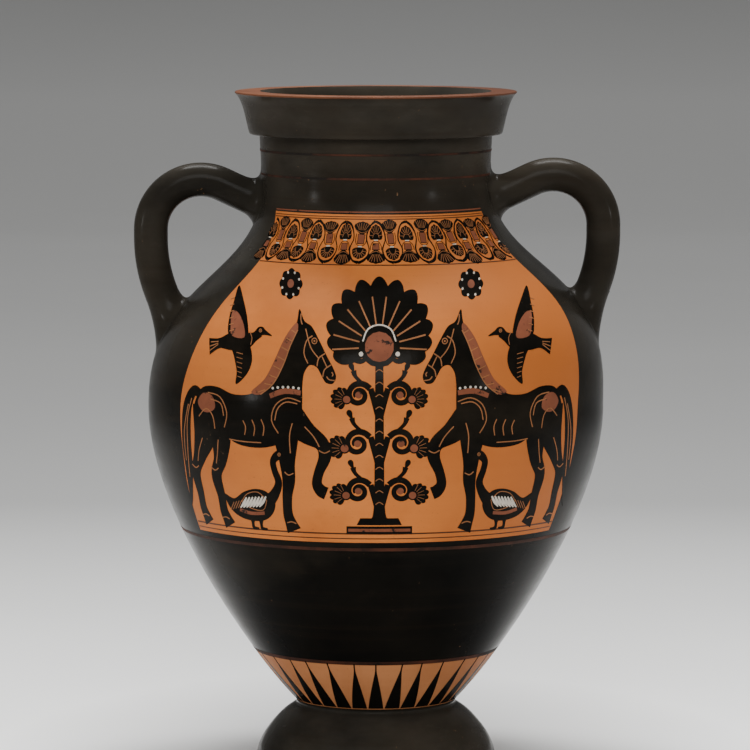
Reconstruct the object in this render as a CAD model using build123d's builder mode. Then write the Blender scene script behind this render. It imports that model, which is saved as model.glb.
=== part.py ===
from build123d import *
from math import cos, radians, sin, tan
import os

# Two-handled clay jar, thrown in sections and luted together. Millimetres, +Z up.
# The origin is the middle of the surface that the foot stands on. The handles lie along X.

# Heights of the sections
foot_height = 37
belly_height = 224
seam_drop = 8
belly_seam = belly_height - seam_drop
jar_height = 405
lip_height = 25.5
neck_height = 21.5
collar_height = 7
lip_seam = jar_height - lip_height
neck_seam = lip_seam - neck_height
shoulder_top = neck_seam - collar_height

# Radii of the outer wall
foot_radius = 71.8
stem_radius = 45.5
belly_radius = 136.9
neck_radius = 68.6
lip_base_radius = 75.8
rim_radius = 84.2

# Walls and seams
wall = 6.5
lap_height = 5
coil_radius = 3.5
coil_clearance = 0.15

# Fullness of the curves, as lengths of their end tangents
base_fullness = 63
stem_spread = 24
stem_rise = 22.5
foot_crown = 8
foot_fullness = 12

# Fullness of the shoulder curve at belly and neck, as shares of its height
belly_share = 0.59
neck_share = 0.433
shoulder_fullness = belly_share * (shoulder_top - belly_height)
neck_fullness = neck_share * (shoulder_top - belly_height)

# Rise of the hand-raised shoulder for each unit along X
shoulder_lean = 0.04

# Floor inside the body, and the boss under it that sits in the foot
floor_height = 42
floor_radius = 25
floor_pull = 25
boss_radius = 30
boss_height = 6

# Hollow and resting ring under the foot
widest_height = 5
rest_outer_radius = 68
rest_width = 11
hollow_height = 20
fillet_size = 3.5

# Lip and mouth
neck_flare = 0.9
rim_width = 15
rim_edge = 2
rim_round = 0.8
lip_edge_round = 1.2
lip_flare = (5.6, 4)
lip_stand = (2.2, 8.5)
mouth_stand = 12.5
mouth_flare = (4.7, 5)

# Handles: the centre line's inset from the belly radius and rise of its crown above the shoulder top
handle_diameter = 20.4
left_inset = 2.3
left_rise = 1
right_inset = 0.8
right_rise = 4
crown_bend = 30
neck_slope = 25
grip_straight = 5
lower_bend = 90
lower_turn = 24
root_depth = 34

# Wads of clay pressed round the handle roots
wad_spread = 5.5
wad_length = 13
wad_edge = 0.6
upper_wad_shift = 2
lower_wad_shift = 4

bore_radius = neck_radius - wall
lap_radius = neck_radius - wall / 2
belly_inner_radius = belly_radius - wall
belly_lap_radius = belly_radius - wall / 2
handle_radius = handle_diameter / 2
boss_bottom = foot_height - boss_height
lean = Matrix([[1, 0, 0, 0], [0, 1, 0, 0], [shoulder_lean, 0, 1, 0]])

os.makedirs("parts", exist_ok=True)


def keep(builder, name):
    """Label a finished piece and write it to its own file."""
    builder.part.label = name
    export_step(builder.part, f"parts/{name}.step")


def shoulder_blank(neck_r, belly_r):
    """Solid of revolution of the shoulder curve, lengthened at both ends by straight walls, and leaning."""
    with BuildPart() as blank:
        with BuildSketch(Plane.XZ):
            with BuildLine():
                Polyline((neck_r, shoulder_top), (neck_r, lip_seam), (0, lip_seam), (0, foot_height),
                         (belly_r, foot_height), (belly_r, belly_height))
                Bezier((belly_r, belly_height), (belly_r, belly_height + shoulder_fullness),
                       (neck_r, shoulder_top - neck_fullness), (neck_r, shoulder_top))
            make_face()
        revolve(axis=Axis.Z)
    return blank.part.transform_geometry(lean)


shoulder_core = shoulder_blank(neck_radius, belly_radius)
shoulder_hollow = shoulder_blank(bore_radius, belly_inner_radius)

# Foot: a thick spreading ring, hollow underneath, with a hole that takes the boss of the body
with BuildPart() as foot:
    with BuildSketch(Plane.XZ):
        with BuildLine():
            Polyline((stem_radius, foot_height), (boss_radius, foot_height), (boss_radius, hollow_height),
                     (rest_outer_radius - rest_width, 0), (rest_outer_radius, 0))
            ThreePointArc((rest_outer_radius, 0),
                          (foot_radius - (foot_radius - rest_outer_radius) / 4, widest_height / 3),
                          (foot_radius, widest_height))
            Bezier((foot_radius, widest_height), (foot_radius, widest_height + foot_fullness),
                   (stem_radius + foot_crown, foot_height), (stem_radius, foot_height))
        make_face()
    revolve(axis=Axis.Z)
keep(foot, "foot")

# Lower body: bowl with a rounded floor, a boss underneath and a tongue along the belly seam
with BuildPart() as lower_body:
    with BuildSketch(Plane.XZ):
        with BuildLine():
            Polyline((floor_radius, floor_height), (0, floor_height), (0, boss_bottom),
                     (boss_radius, boss_bottom), (boss_radius, foot_height), (stem_radius, foot_height))
            Bezier((stem_radius, foot_height), (stem_radius + stem_spread, foot_height + stem_rise),
                   (belly_radius, belly_seam - base_fullness), (belly_radius, belly_seam))
            Polyline((belly_radius, belly_seam), (belly_lap_radius, belly_seam),
                     (belly_lap_radius, belly_seam + lap_height),
                     (belly_inner_radius, belly_seam + lap_height), (belly_inner_radius, belly_seam))
            Bezier((belly_inner_radius, belly_seam), (belly_inner_radius, belly_seam - base_fullness),
                   (floor_radius + floor_pull, floor_height), (floor_radius, floor_height))
        make_face()
    revolve(axis=Axis.Z)
keep(lower_body, "lower_body")

# Upper body: the leaning shoulder between two level seams, recessed below and with a tongue above
with BuildPart() as upper_body:
    add(shoulder_core)
    add(shoulder_hollow, mode=Mode.SUBTRACT)
    split(bisect_by=Plane.XY.offset(belly_seam), keep=Keep.TOP)
    split(bisect_by=Plane.XY.offset(neck_seam + lap_height), keep=Keep.BOTTOM)
    with BuildSketch(Plane.XY.offset(belly_seam)):
        Circle(belly_lap_radius)
    extrude(amount=lap_height, mode=Mode.SUBTRACT)
    with BuildSketch(Plane.XY.offset(neck_seam)):
        Circle(rim_radius)
        Circle(lap_radius, mode=Mode.SUBTRACT)
    extrude(amount=lap_height, mode=Mode.SUBTRACT)
keep(upper_body, "upper_body")

# Neck: a straight collar, recessed below and with a tongue above
with BuildPart() as neck:
    with BuildSketch(Plane.XZ):
        with BuildLine():
            Polyline((neck_radius, neck_seam), (neck_radius + neck_flare, lip_seam), (lap_radius, lip_seam),
                     (lap_radius, lip_seam + lap_height), (bore_radius, lip_seam + lap_height),
                     (bore_radius, neck_seam + lap_height), (lap_radius, neck_seam + lap_height),
                     (lap_radius, neck_seam), (neck_radius, neck_seam))
        make_face()
    revolve(axis=Axis.Z)
keep(neck, "neck")

# Lip: a flaring ring with a flat top and a widening mouth, recessed below for the neck's tongue
mouth_radius = rim_radius - rim_width
with BuildPart() as lip:
    with BuildSketch(Plane.XZ):
        with BuildLine():
            Polyline((bore_radius, lip_seam + lap_height), (lap_radius, lip_seam + lap_height),
                     (lap_radius, lip_seam), (lip_base_radius, lip_seam))
            Bezier((lip_base_radius, lip_seam), (lip_base_radius + lip_stand[0], lip_seam + lip_stand[1]),
                   (rim_radius - lip_flare[0], jar_height - rim_edge - lip_flare[1]),
                   (rim_radius, jar_height - rim_edge))
            Polyline((rim_radius, jar_height - rim_edge), (rim_radius, jar_height),
                     (mouth_radius, jar_height))
            Bezier((mouth_radius, jar_height), (mouth_radius - mouth_flare[0], jar_height - mouth_flare[1]),
                   (bore_radius, lip_seam + mouth_stand), (bore_radius, lip_seam + lap_height))
        make_face()
    revolve(axis=Axis.Z)
    lip_circles = lip.edges().filter_by(GeomType.CIRCLE)
    fillet(lip_circles.group_by(Axis.Z)[-1].sort_by(SortBy.RADIUS)[-1], radius=rim_round)
    under_edges = lip.edges().filter_by(GeomType.CIRCLE).group_by(Axis.Z)[0]
    fillet(under_edges.sort_by(SortBy.RADIUS)[-1], radius=lip_edge_round)
keep(lip, "lip")

# Fillet of wet clay in the corner between foot and body
fillet_bottom = foot_height - fillet_size
fillet_top = foot_height + fillet_size
fillet_shoulder = stem_radius + fillet_size
fillet_toe = stem_radius + 2 * fillet_size
with BuildPart() as foot_fillet:
    with BuildSketch(Plane.XZ):
        with BuildLine():
            Polyline((fillet_toe, fillet_bottom), (stem_radius, fillet_bottom), (stem_radius, fillet_top),
                     (fillet_shoulder, fillet_top))
            Bezier((fillet_shoulder, fillet_top), (fillet_shoulder, foot_height + fillet_size / 2),
                   (fillet_toe, fillet_bottom))
        make_face()
    revolve(axis=Axis.Z)
    add(lower_body.part, mode=Mode.SUBTRACT)
    add(foot.part, mode=Mode.SUBTRACT)
keep(foot_fillet, "foot_fillet")

# Coils of clay pressed into the seams: half round inside belly and neck, quarter round under the foot
coil_seats = {
    "belly_coil": (belly_inner_radius - coil_clearance, belly_seam + lap_height, 180),
    "neck_coil": (bore_radius, neck_seam + lap_height, 180),
    "foot_coil": (boss_radius, boss_bottom, 90),
}
for coil_name, (seat_radius, seat_height, round_size) in coil_seats.items():
    with BuildPart() as coil:
        with BuildSketch(Plane.XZ):
            with BuildLine():
                half_round = CenterArc((seat_radius, seat_height), coil_radius, 270, -round_size)
                Polyline(half_round @ 1, (seat_radius, seat_height), half_round @ 0)
            make_face()
        revolve(axis=Axis.Z)
    keep(coil, coil_name)


def wad(seat, outward, crook, handle):
    """Ring of clay round a handle root, fuller towards the crook, that thins out along the handle."""
    with BuildPart() as ring:
        with BuildSketch(Plane(origin=seat + crook, x_dir=outward, z_dir=(0, 1, 0))):
            with BuildLine():
                Polyline((wad_length, handle_radius + wad_edge), (wad_length, 0), (-root_depth, 0),
                         (-root_depth, handle_radius + wad_spread), (0, handle_radius + wad_spread))
                Bezier((0, handle_radius + wad_spread), (wad_length / 3, handle_radius + wad_edge),
                       (wad_length, handle_radius + wad_edge))
            make_face()
        revolve(axis=Axis(seat + crook, outward))
        add(shoulder_core, mode=Mode.SUBTRACT)
        add(handle.part, mode=Mode.SUBTRACT)
    return ring


# Handles: round rods from neck to shoulder, cut to the wall, each with a wad at either root
handle_sides = (("left", -1, left_inset, left_rise), ("right", 1, right_inset, right_rise))
for side_name, side, inset, rise in handle_sides:
    side_plane = Plane(origin=(0, 0, 0), x_dir=(side, 0, 0), z_dir=(0, -side, 0))
    reach = belly_radius - inset
    crown_height = shoulder_top + rise
    crown_start = (reach - crown_bend * (1 + sin(radians(neck_slope))),
                   crown_height - crown_bend * (1 - cos(radians(neck_slope))))
    root_run = crown_start[0] - bore_radius
    upper_root = (bore_radius, crown_start[1] - root_run * tan(radians(neck_slope)))
    with BuildLine(side_plane) as centre_line:
        run_out = Line(upper_root, crown_start)
        crown = JernArc(run_out @ 1, run_out % 1, crown_bend, -(90 + neck_slope))
        grip = Line(crown @ 1, crown @ 1 + (crown % 1) * grip_straight)
        lower = JernArc(grip @ 1, grip % 1, lower_bend, -lower_turn)
        run_in = Line(lower @ 1, lower @ 1 + (lower % 1) * ((root_depth - inset) / sin(radians(lower_turn))))
    with BuildPart() as handle:
        with BuildSketch(Plane(origin=run_out @ 0, z_dir=run_out % 0)):
            Circle(handle_radius)
        sweep(path=centre_line.line)
        add(shoulder_core, mode=Mode.SUBTRACT)
    keep(handle, f"handle_{side_name}")
    bare_ends = (centre_line.line - shoulder_core).vertices()
    upper_seat = Vector(*bare_ends.sort_by_distance(run_out @ 0)[0])
    upper_crook = side_plane.z_dir.cross(run_out % 0) * -upper_wad_shift
    upper_wad = wad(upper_seat, run_out % 0, upper_crook, handle)
    keep(upper_wad, f"handle_{side_name}_upper_wad")
    lower_seat = Vector(*bare_ends.sort_by_distance(run_in @ 1)[0])
    lower_crook = side_plane.z_dir.cross(run_in % 0) * -lower_wad_shift
    lower_wad = wad(lower_seat, (run_in % 0) * -1, lower_crook, handle)
    keep(lower_wad, f"handle_{side_name}_lower_wad")
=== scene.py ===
"""Two-handled painted clay jar: smooth wheel-thrown wall, pulled handles and slip painting over the frame."""
import bisect
import itertools
import logging
import math
from dataclasses import dataclass, field
from enum import Enum
from typing import Callable, ClassVar, Iterable, Sequence

import bmesh
import bpy
from bmesh.types import BMEdge, BMesh, BMFace, BMVert
from bpy.types import Material, NodeSocket, Object, ShaderNode
from mathutils import Matrix, Vector


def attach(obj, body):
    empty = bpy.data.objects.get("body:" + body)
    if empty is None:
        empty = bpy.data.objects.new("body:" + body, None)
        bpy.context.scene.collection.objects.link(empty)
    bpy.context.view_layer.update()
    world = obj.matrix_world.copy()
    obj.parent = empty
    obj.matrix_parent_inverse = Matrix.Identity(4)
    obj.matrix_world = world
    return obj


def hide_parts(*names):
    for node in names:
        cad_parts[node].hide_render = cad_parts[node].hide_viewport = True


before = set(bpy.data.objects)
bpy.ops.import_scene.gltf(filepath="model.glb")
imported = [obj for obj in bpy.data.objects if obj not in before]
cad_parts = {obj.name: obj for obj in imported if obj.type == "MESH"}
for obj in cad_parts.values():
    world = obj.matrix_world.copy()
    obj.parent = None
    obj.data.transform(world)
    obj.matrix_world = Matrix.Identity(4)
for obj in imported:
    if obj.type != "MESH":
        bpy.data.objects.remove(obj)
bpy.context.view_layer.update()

LOG = logging.getLogger("jar")
BODY = "root"
MM = 0.001
DEGREE = math.radians(1.0)

Point = tuple[float, float]
Triple = tuple[float, float, float]
Colour = Triple
Stroke = tuple[Triple, ...]
Cuts = tuple[tuple[Point, ...], ...]
Leads = tuple[Point, Point]
Outline = list[Point]


class Side(Enum):
    """The two sides of the jar that carry a handle."""
    LEFT = -1
    RIGHT = 1


class Facing(Enum):
    """The two painted faces, by their angle from the front in degrees."""
    FRONT = 0.0
    BACK = 180.0


def blend(low: float, high: float, share: float) -> float:
    """Value a given share of the way from low to high."""
    return low + (high - low) * share


def unsteady(size: float, pace: float, place: float, start: float = 0.0) -> float:
    """Small offset that makes a repeated motif uneven, as by hand."""
    return size * math.sin(pace * place + start)


@dataclass(frozen=True)
class Bow:
    """One cubic curve of an outline, as radius and height in metres.

    Attributes:
        start, end: its first and last point.
        lead_out, lead_in: offsets from these of the points that pull the curve.
    """
    start: Point
    lead_out: Point
    lead_in: Point
    end: Point

    def at(self, share: float) -> Point:
        """Point on the curve.

        Args:
            share: 0 at the start, 1 at the end.

        Returns:
            Radius and height of the point.
        """
        rest = 1.0 - share
        weights = (rest ** 3, 3 * rest * rest * share, 3 * rest * share * share, share ** 3)
        radii, heights = ((first, first + out, last + back, last) for first, out, back, last
                          in zip(self.start, self.lead_out, self.lead_in, self.end))
        return (sum(w * radius for w, radius in zip(weights, radii)),
                sum(w * height for w, height in zip(weights, heights)))

    def run(self, count: int) -> Outline:
        """Points along the whole curve, both ends included."""
        return [self.at(step / count) for step in range(count + 1)]


@dataclass(frozen=True)
class Wall:
    """Outer wall of the jar in metres: its curves, its seams and the lean of its shoulder.

    Attributes:
        foot_lead, belly_lead: how far the ends of the lower curve pull it.
        shoulder_lead, neck_lead: how far the ends of the shoulder's curve pull it.
        lean: rise of the shoulder for each metre to the right.
        lean_rounds: rounds of search for the radius of the leaning shoulder.
        slope_step: half the height over which the slope is measured.
        heights, radii: sampled points of the wall.
    """
    foot_height: float = 0.037
    belly_seam: float = 0.216
    belly_height: float = 0.224
    shoulder_top: float = 0.351
    neck_seam: float = 0.358
    lip_seam: float = 0.3795
    jar_height: float = 0.405
    stem_radius: float = 0.0455
    belly_radius: float = 0.1364
    neck_radius: float = 0.0686
    neck_flare: float = 0.0009
    thickness: float = 0.0065
    foot_lead: Point = (0.024, 0.0225)
    belly_lead: float = 0.063
    shoulder_lead: float = 0.075
    neck_lead: float = 0.055
    lean: float = 0.04
    lean_rounds: int = 4
    slope_step: float = 0.4 * MM
    samples: int = 160
    heights: list[float] = field(default_factory=list)
    radii: list[float] = field(default_factory=list)

    def __post_init__(self) -> None:
        """Sample the outer wall once, for the painted layers and the handle roots."""
        run = self.lower_bow().run(self.samples) + self.shoulder_bow(0.0).run(self.samples)
        run.append((self.neck_radius, self.neck_seam))
        run.append((self.neck_radius + self.neck_flare, self.lip_seam))
        for radius, height in run:
            self.heights.append(height)
            self.radii.append(radius)

    def lower_bow(self) -> Bow:
        """Outer curve of the lower body, from the foot up to the belly seam."""
        return Bow((self.stem_radius, self.foot_height), self.foot_lead,
                   (0.0, -self.belly_lead), (self.belly_radius, self.belly_seam))

    def shoulder_bow(self, inset: float) -> Bow:
        """Curve of the shoulder from belly to neck, moved inwards by inset."""
        return Bow((self.belly_radius - inset, self.belly_height), (0.0, self.shoulder_lead),
                   (0.0, -self.neck_lead), (self.neck_radius - inset, self.shoulder_top))

    def plain_radius(self, height: float) -> float:
        """Outer radius at a height, before the shoulder leans.

        Args:
            height: height above the ground.

        Returns:
            The radius.
        """
        high = bisect.bisect_right(self.heights, height)
        if high == 0 or high == len(self.heights):
            return self.radii[min(high, len(self.radii) - 1)]
        below, above = self.heights[high - 1], self.heights[high]
        return blend(self.radii[high - 1], self.radii[high], (height - below) / (above - below))

    def radius(self, angle: float, height: float) -> float:
        """Outer radius with the lean of the shoulder.

        Args:
            angle: angle from the front, in radians.
            height: height above the ground.

        Returns:
            The radius.
        """
        radius = self.plain_radius(height)
        if self.belly_seam < height < self.neck_seam:
            for _ in range(self.lean_rounds):
                source = height - self.lean * radius * math.sin(angle)
                radius = self.plain_radius(min(max(source, self.belly_seam), self.neck_seam))
        return radius

    def point(self, angle: float, height: float, lift: float = 0.0) -> Vector:
        """Point on the outer wall, or lifted off it.

        Args:
            angle: angle from the front (-Y) towards +X, in radians.
            height: height above the ground.
            lift: distance off the wall.

        Returns:
            The point in the jar's frame.
        """
        radius = self.radius(angle, height)
        step = self.slope_step
        slope = (self.radius(angle, height + step) - self.radius(angle, height - step)) / (2 * step)
        scale = lift / math.hypot(1.0, slope)
        out = radius + scale
        return Vector((out * math.sin(angle), -out * math.cos(angle), height - slope * scale))

    def outside(self, spot: Vector) -> float:
        """Distance of a point outside the wall, measured level; negative inside."""
        angle = math.atan2(spot.x, -spot.y)
        return math.hypot(spot.x, spot.y) - self.radius(angle, spot.z)

    def leaned(self, spot: Vector) -> Vector:
        """Move a point of the upright shoulder.

        Args:
            spot: the point.

        Returns:
            Its leaning place.
        """
        below = (spot.z - self.belly_seam) / (self.belly_height - self.belly_seam)
        above = (self.neck_seam - spot.z) / (self.neck_seam - self.shoulder_top)
        weight = min(max(min(below, above), 0.0), 1.0)
        return Vector((spot.x, spot.y, spot.z + self.lean * spot.x * weight))


WALL = Wall()


class NodeTree:
    """Small helper for wiring a material's nodes."""

    def __init__(self, name: str) -> None:
        """Start a material with a bare shader and object coordinates.

        Args:
            name: name of the material.
        """
        self.material = bpy.data.materials.new(name)
        self.material.use_nodes = True
        self.nodes = self.material.node_tree.nodes
        self.links = self.material.node_tree.links
        self.shader = self.nodes["Principled BSDF"]
        self.coords = self.nodes.new("ShaderNodeTexCoord").outputs["Object"]

    def wire(self, node: ShaderNode, inputs: dict[str | int, object]) -> ShaderNode:
        """Fill inputs of a node.

        Args:
            node: the node.
            inputs: for each input, the socket that feeds it, or its constant value.

        Returns:
            The same node.
        """
        for key, value in inputs.items():
            if isinstance(value, NodeSocket):
                self.links.new(value, node.inputs[key])
            else:
                node.inputs[key].default_value = value
        return node

    def add(self, kind: str, inputs: dict[str | int, object]) -> ShaderNode:
        """Add a node of a kind and fill its inputs."""
        return self.wire(self.nodes.new(kind), inputs)

    def stretched(self, scale: Sequence[float]) -> NodeSocket:
        """Object coordinates scaled along each axis."""
        return self.add("ShaderNodeMapping", {"Vector": self.coords, "Scale": scale}).outputs["Vector"]

    def noise(self, scale: float, detail: float = 4.0, stretch: Sequence[float] = (1, 1, 1),
              roughness: float = 0.55) -> NodeSocket:
        """Cloudy noise on object coordinates.

        Args:
            scale: number of clouds per metre.
            detail: octaves.
            stretch: scale of the coordinates along X, Y and Z.
            roughness: strength of the finer octaves.

        Returns:
            The grey value of the noise.
        """
        inputs = {"Vector": self.stretched(stretch), "Scale": scale, "Detail": detail, "Roughness": roughness}
        return self.add("ShaderNodeTexNoise", inputs).outputs["Fac"]

    def ramp(self, value: NodeSocket, stops: Sequence[tuple[float, Sequence[float]]]) -> NodeSocket:
        """Colour ramp over a grey value.

        Args:
            value: the grey value.
            stops: positions with linear colours.

        Returns:
            The colour.
        """
        node = self.add("ShaderNodeValToRGB", {"Fac": value})
        elements = node.color_ramp.elements
        while len(elements) < len(stops):
            elements.new(0.5)
        for element, (position, colour) in zip(elements, stops):
            element.position = position
            element.color = (*colour, 1.0)
        return node.outputs["Color"]

    def spread(self, value: NodeSocket, low: float, high: float, out_low: float = 0.0, out_high: float = 1.0
               ) -> NodeSocket:
        """Grey value moved from one range to another, clamped."""
        inputs = {"Value": value, "From Min": low, "From Max": high, "To Min": out_low, "To Max": out_high}
        return self.add("ShaderNodeMapRange", inputs).outputs["Result"]

    def mix(self, factor: NodeSocket, first: NodeSocket, second: Sequence[float] | NodeSocket) -> NodeSocket:
        """Mix two colours.

        Args:
            factor: share of the second.
            first: a colour.
            second: another colour, or a constant.

        Returns:
            The mixed colour.
        """
        node = self.nodes.new("ShaderNodeMix")
        node.data_type = "RGBA"
        if not isinstance(second, NodeSocket):
            second = (*second, 1.0)
        return self.wire(node, {"Factor": factor, "A": first, "B": second}).outputs["Result"]

    def coordinate(self, axis: str) -> NodeSocket:
        """One of the object coordinates."""
        return self.add("ShaderNodeSeparateXYZ", {"Vector": self.coords}).outputs[axis]

    def distance(self, stretch: Sequence[float]) -> NodeSocket:
        """Distance from the origin in scaled object coordinates.

        Args:
            stretch: scale of the coordinates along X, Y and Z.

        Returns:
            The distance.
        """
        node = self.nodes.new("ShaderNodeVectorMath")
        node.operation = "LENGTH"
        return self.wire(node, {0: self.stretched(stretch)}).outputs["Value"]

    def product(self, first: NodeSocket, second: NodeSocket) -> NodeSocket:
        """Product of two grey values.

        Args:
            first: one value.
            second: the other.

        Returns:
            The product.
        """
        node = self.nodes.new("ShaderNodeMath")
        node.operation = "MULTIPLY"
        return self.wire(node, {0: first, 1: second}).outputs["Value"]

    def bump(self, value: NodeSocket, strength: float, distance: float) -> None:
        """Add a bump from a grey value to the shader, over any bump it has.

        Args:
            value: the grey value.
            strength: strength of the bump.
            distance: its depth in metres.
        """
        node = self.add("ShaderNodeBump", {"Strength": strength, "Distance": distance, "Height": value})
        normal = self.shader.inputs["Normal"]
        if normal.is_linked:
            self.links.new(normal.links[0].from_socket, node.inputs["Normal"])
        self.links.new(node.outputs["Normal"], normal)

    def dress(self, colour: NodeSocket, roughness: NodeSocket | float, shine: float) -> Material:
        """Material with the shader's colour, roughness and specular level in place."""
        self.wire(self.shader, {"Base Color": colour, "Roughness": roughness, "Specular IOR Level": shine})
        return self.material


@dataclass(frozen=True)
class BlackSlip:
    """Burnished black slip: near black with brown clouds and wheel streaks, greyer at the foot and from the
    shoulder up, partly where hands have worn it and partly as painted light on the parts that catch the
    light.

    Attributes:
        deep, cloud, warm: colours of the fresh slip, of its cloudy patches and of its thin streaks.
        worn, worn_and_lit_cloud: colours of the lighter slip, partly worn and partly painted light, and of
            its cloudy patches.
        patina: dull film in large patches.
        chips: clay in the smallest losses.
        gloss, worn_gloss: lowest and highest roughness of the fresh and of the worn slip.
        streaks: strength of the wheel streaks.
        wear_and_light: share of the lighter slip by share of the jar's height, partly rubbed and partly
            painted light.
    """
    name: str = "black_slip"
    deep: Colour = (0.0032, 0.0031, 0.0027)
    cloud: Colour = (0.0075, 0.0066, 0.0052)
    warm: Colour = (0.0190, 0.0128, 0.0080)
    worn: Colour = (0.0350, 0.0318, 0.0258)
    worn_and_lit_cloud: Colour = (0.0490, 0.0412, 0.0310)
    patina: Colour = (0.0240, 0.0185, 0.0120)
    chips: Colour = (0.18, 0.10, 0.05)
    gloss: Point = (0.13, 0.24)
    worn_gloss: Point = (0.20, 0.34)
    shine: float = 0.03
    streaks: float = 0.5
    wear_and_light: tuple[Point, ...] = (
        (0.0, 1.0), (0.085, 0.95), (0.115, 0.0), (0.54, 0.05), (0.67, 0.55), (0.76, 0.85), (0.845, 0.60),
        (0.865, 0.70), (0.91, 1.0))

    def material(self) -> Material:
        """Build the material.

        Returns:
            The material.
        """
        tree = NodeTree(self.name)
        clouds = tree.noise(16.0, 5.0)
        rings = tree.noise(7.0, 6.0, (0.35, 0.35, 24.0), 0.65)
        colour = tree.ramp(clouds, ((0.30, self.deep), (0.62, self.cloud), (0.85, self.warm)))
        rubbed = tree.ramp(clouds, ((0.30, self.worn), (0.66, self.worn_and_lit_cloud)))
        share = tree.spread(tree.coordinate("Z"), 0.0, WALL.jar_height)
        patches = tree.spread(tree.noise(11.0, 5.0, (1, 1, 2.2), 0.6), 0.36, 0.62, 0.40, 1.0)
        # Painted light and rubbing: the slip turns greyer at the foot and from the shoulder up, partly rubbed
        # and partly painted light on the upper faces, while the lower body stays darkest.
        wear_and_light = tree.ramp(share, [(place, (worn, worn, worn)) for place, worn in self.wear_and_light])
        worn = tree.product(wear_and_light, patches)
        colour = tree.mix(worn, colour, rubbed)
        colour = tree.mix(tree.spread(rings, 0.52, 0.78, 0.0, self.streaks), colour, self.warm)
        dull = tree.spread(tree.noise(9.0, 6.0, (1, 1, 1.6), 0.62), 0.50, 0.68, 0.0, 0.55)
        colour = tree.mix(dull, colour, self.patina)
        losses = tree.product(tree.spread(tree.noise(420.0, 2.0), 0.70, 0.76),
                              tree.spread(tree.noise(28.0, 3.0), 0.56, 0.70))
        colour = tree.mix(losses, colour, self.chips)
        grain = tree.noise(55.0, 5.0, (1, 1, 3))
        roughness = tree.mix(worn, tree.spread(grain, 0.3, 0.75, *self.gloss),
                             tree.spread(grain, 0.3, 0.75, *self.worn_gloss))
        tree.bump(rings, 0.22, 0.35 * MM)
        tree.bump(tree.noise(240.0, 3.0), 0.10, 0.10 * MM)
        return tree.dress(colour, roughness, self.shine)


@dataclass(frozen=True)
class FiredClay:
    """Smoothed orange clay with soft mottling, fine specks and faint wheel lines, with painted shade that
    makes it darker towards the sides, most on the right.

    Attributes:
        painted_shade_tone: tone of the sides, as a share of the dark colour.
        side_shade_share: how far both sides go to that tone.
        right_shade_share: how much further the right side goes.
        side_shade_zone, right_shade_zone: distances from the middle over which they do.
    """
    name: str = "fired_clay"
    light: Colour = (0.655, 0.203, 0.045)
    dark: Colour = (0.515, 0.146, 0.030)
    grime: Colour = (0.27, 0.085, 0.025)
    gloss: Point = (0.40, 0.56)
    shine: float = 0.08
    painted_shade_tone: float = 0.82
    side_shade_share: float = 0.6
    right_shade_share: float = 0.9
    side_shade_zone: Point = (0.03, 0.11)
    right_shade_zone: Point = (0.0, 0.10)

    def material(self) -> Material:
        """Build the material.

        Returns:
            The material.
        """
        tree = NodeTree(self.name)
        clouds = tree.noise(22.0, 6.0)
        rings = tree.noise(9.0, 5.0, (0.4, 0.4, 30.0), 0.6)
        colour = tree.ramp(clouds, ((0.32, self.dark), (0.58, self.light)))
        colour = tree.mix(tree.spread(rings, 0.45, 0.85, 0.0, 0.35), colour, self.dark)
        # Painted shade: the clay darkens towards both sides, and further towards the right, standing in for
        # the light falling off.
        deep = tuple(self.painted_shade_tone * value for value in self.dark)
        sides = tree.spread(tree.distance((1, 0, 0)), *self.side_shade_zone, 0.0, self.side_shade_share)
        right = tree.spread(tree.coordinate("X"), *self.right_shade_zone, 0.0, self.right_shade_share)
        specks = tree.spread(tree.noise(700.0, 2.0), 0.66, 0.80, 0.0, 0.6)
        for share, tone in ((sides, deep), (right, deep), (specks, self.grime)):
            colour = tree.mix(share, colour, tone)
        tree.bump(tree.noise(500.0, 3.0), 0.15, 0.08 * MM)
        return tree.dress(colour, tree.spread(clouds, 0.3, 0.7, *self.gloss), self.shine)


@dataclass(frozen=True)
class AddedPaint:
    """Matt added colour, rubbed thin in patches that let another colour through.

    Attributes:
        under: colour that shows where it is rubbed.
        rubbed: grey level of the noise from which it is rubbed.
        patches: number of patches per metre.
        fade: softness of their edges.
        shade: tone of its darker clouds, as a share of the colour.
    """
    name: str
    colour: Colour
    under: Colour
    rubbed: float = 0.62
    roughness: float = 0.6
    patches: float = 160.0
    fade: float = 0.06
    shine: float = 0.10
    shade: float = 0.72

    def material(self) -> Material:
        """Build the material.

        Returns:
            The material.
        """
        tree = NodeTree(self.name)
        darker = tuple(self.shade * value for value in self.colour)
        tint = tree.ramp(tree.noise(90.0, 4.0), ((0.3, darker), (0.7, self.colour)))
        worn = tree.noise(self.patches, 6.0, (1, 1, 1), 0.7)
        loss = tree.spread(worn, self.rubbed, self.rubbed + self.fade)
        tree.bump(tree.noise(600.0, 3.0), 0.2, 0.06 * MM)
        return tree.dress(tree.mix(loss, tint, self.under), self.roughness, self.shine)


class Pigment(Enum):
    """Paints of the pictures, in the order they are laid."""
    CLAY = "clay"
    BROWN = "brown"
    BLACK = "black"
    RED = "red"
    SCRATCH = "incised"
    WHITE = "white"


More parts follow.
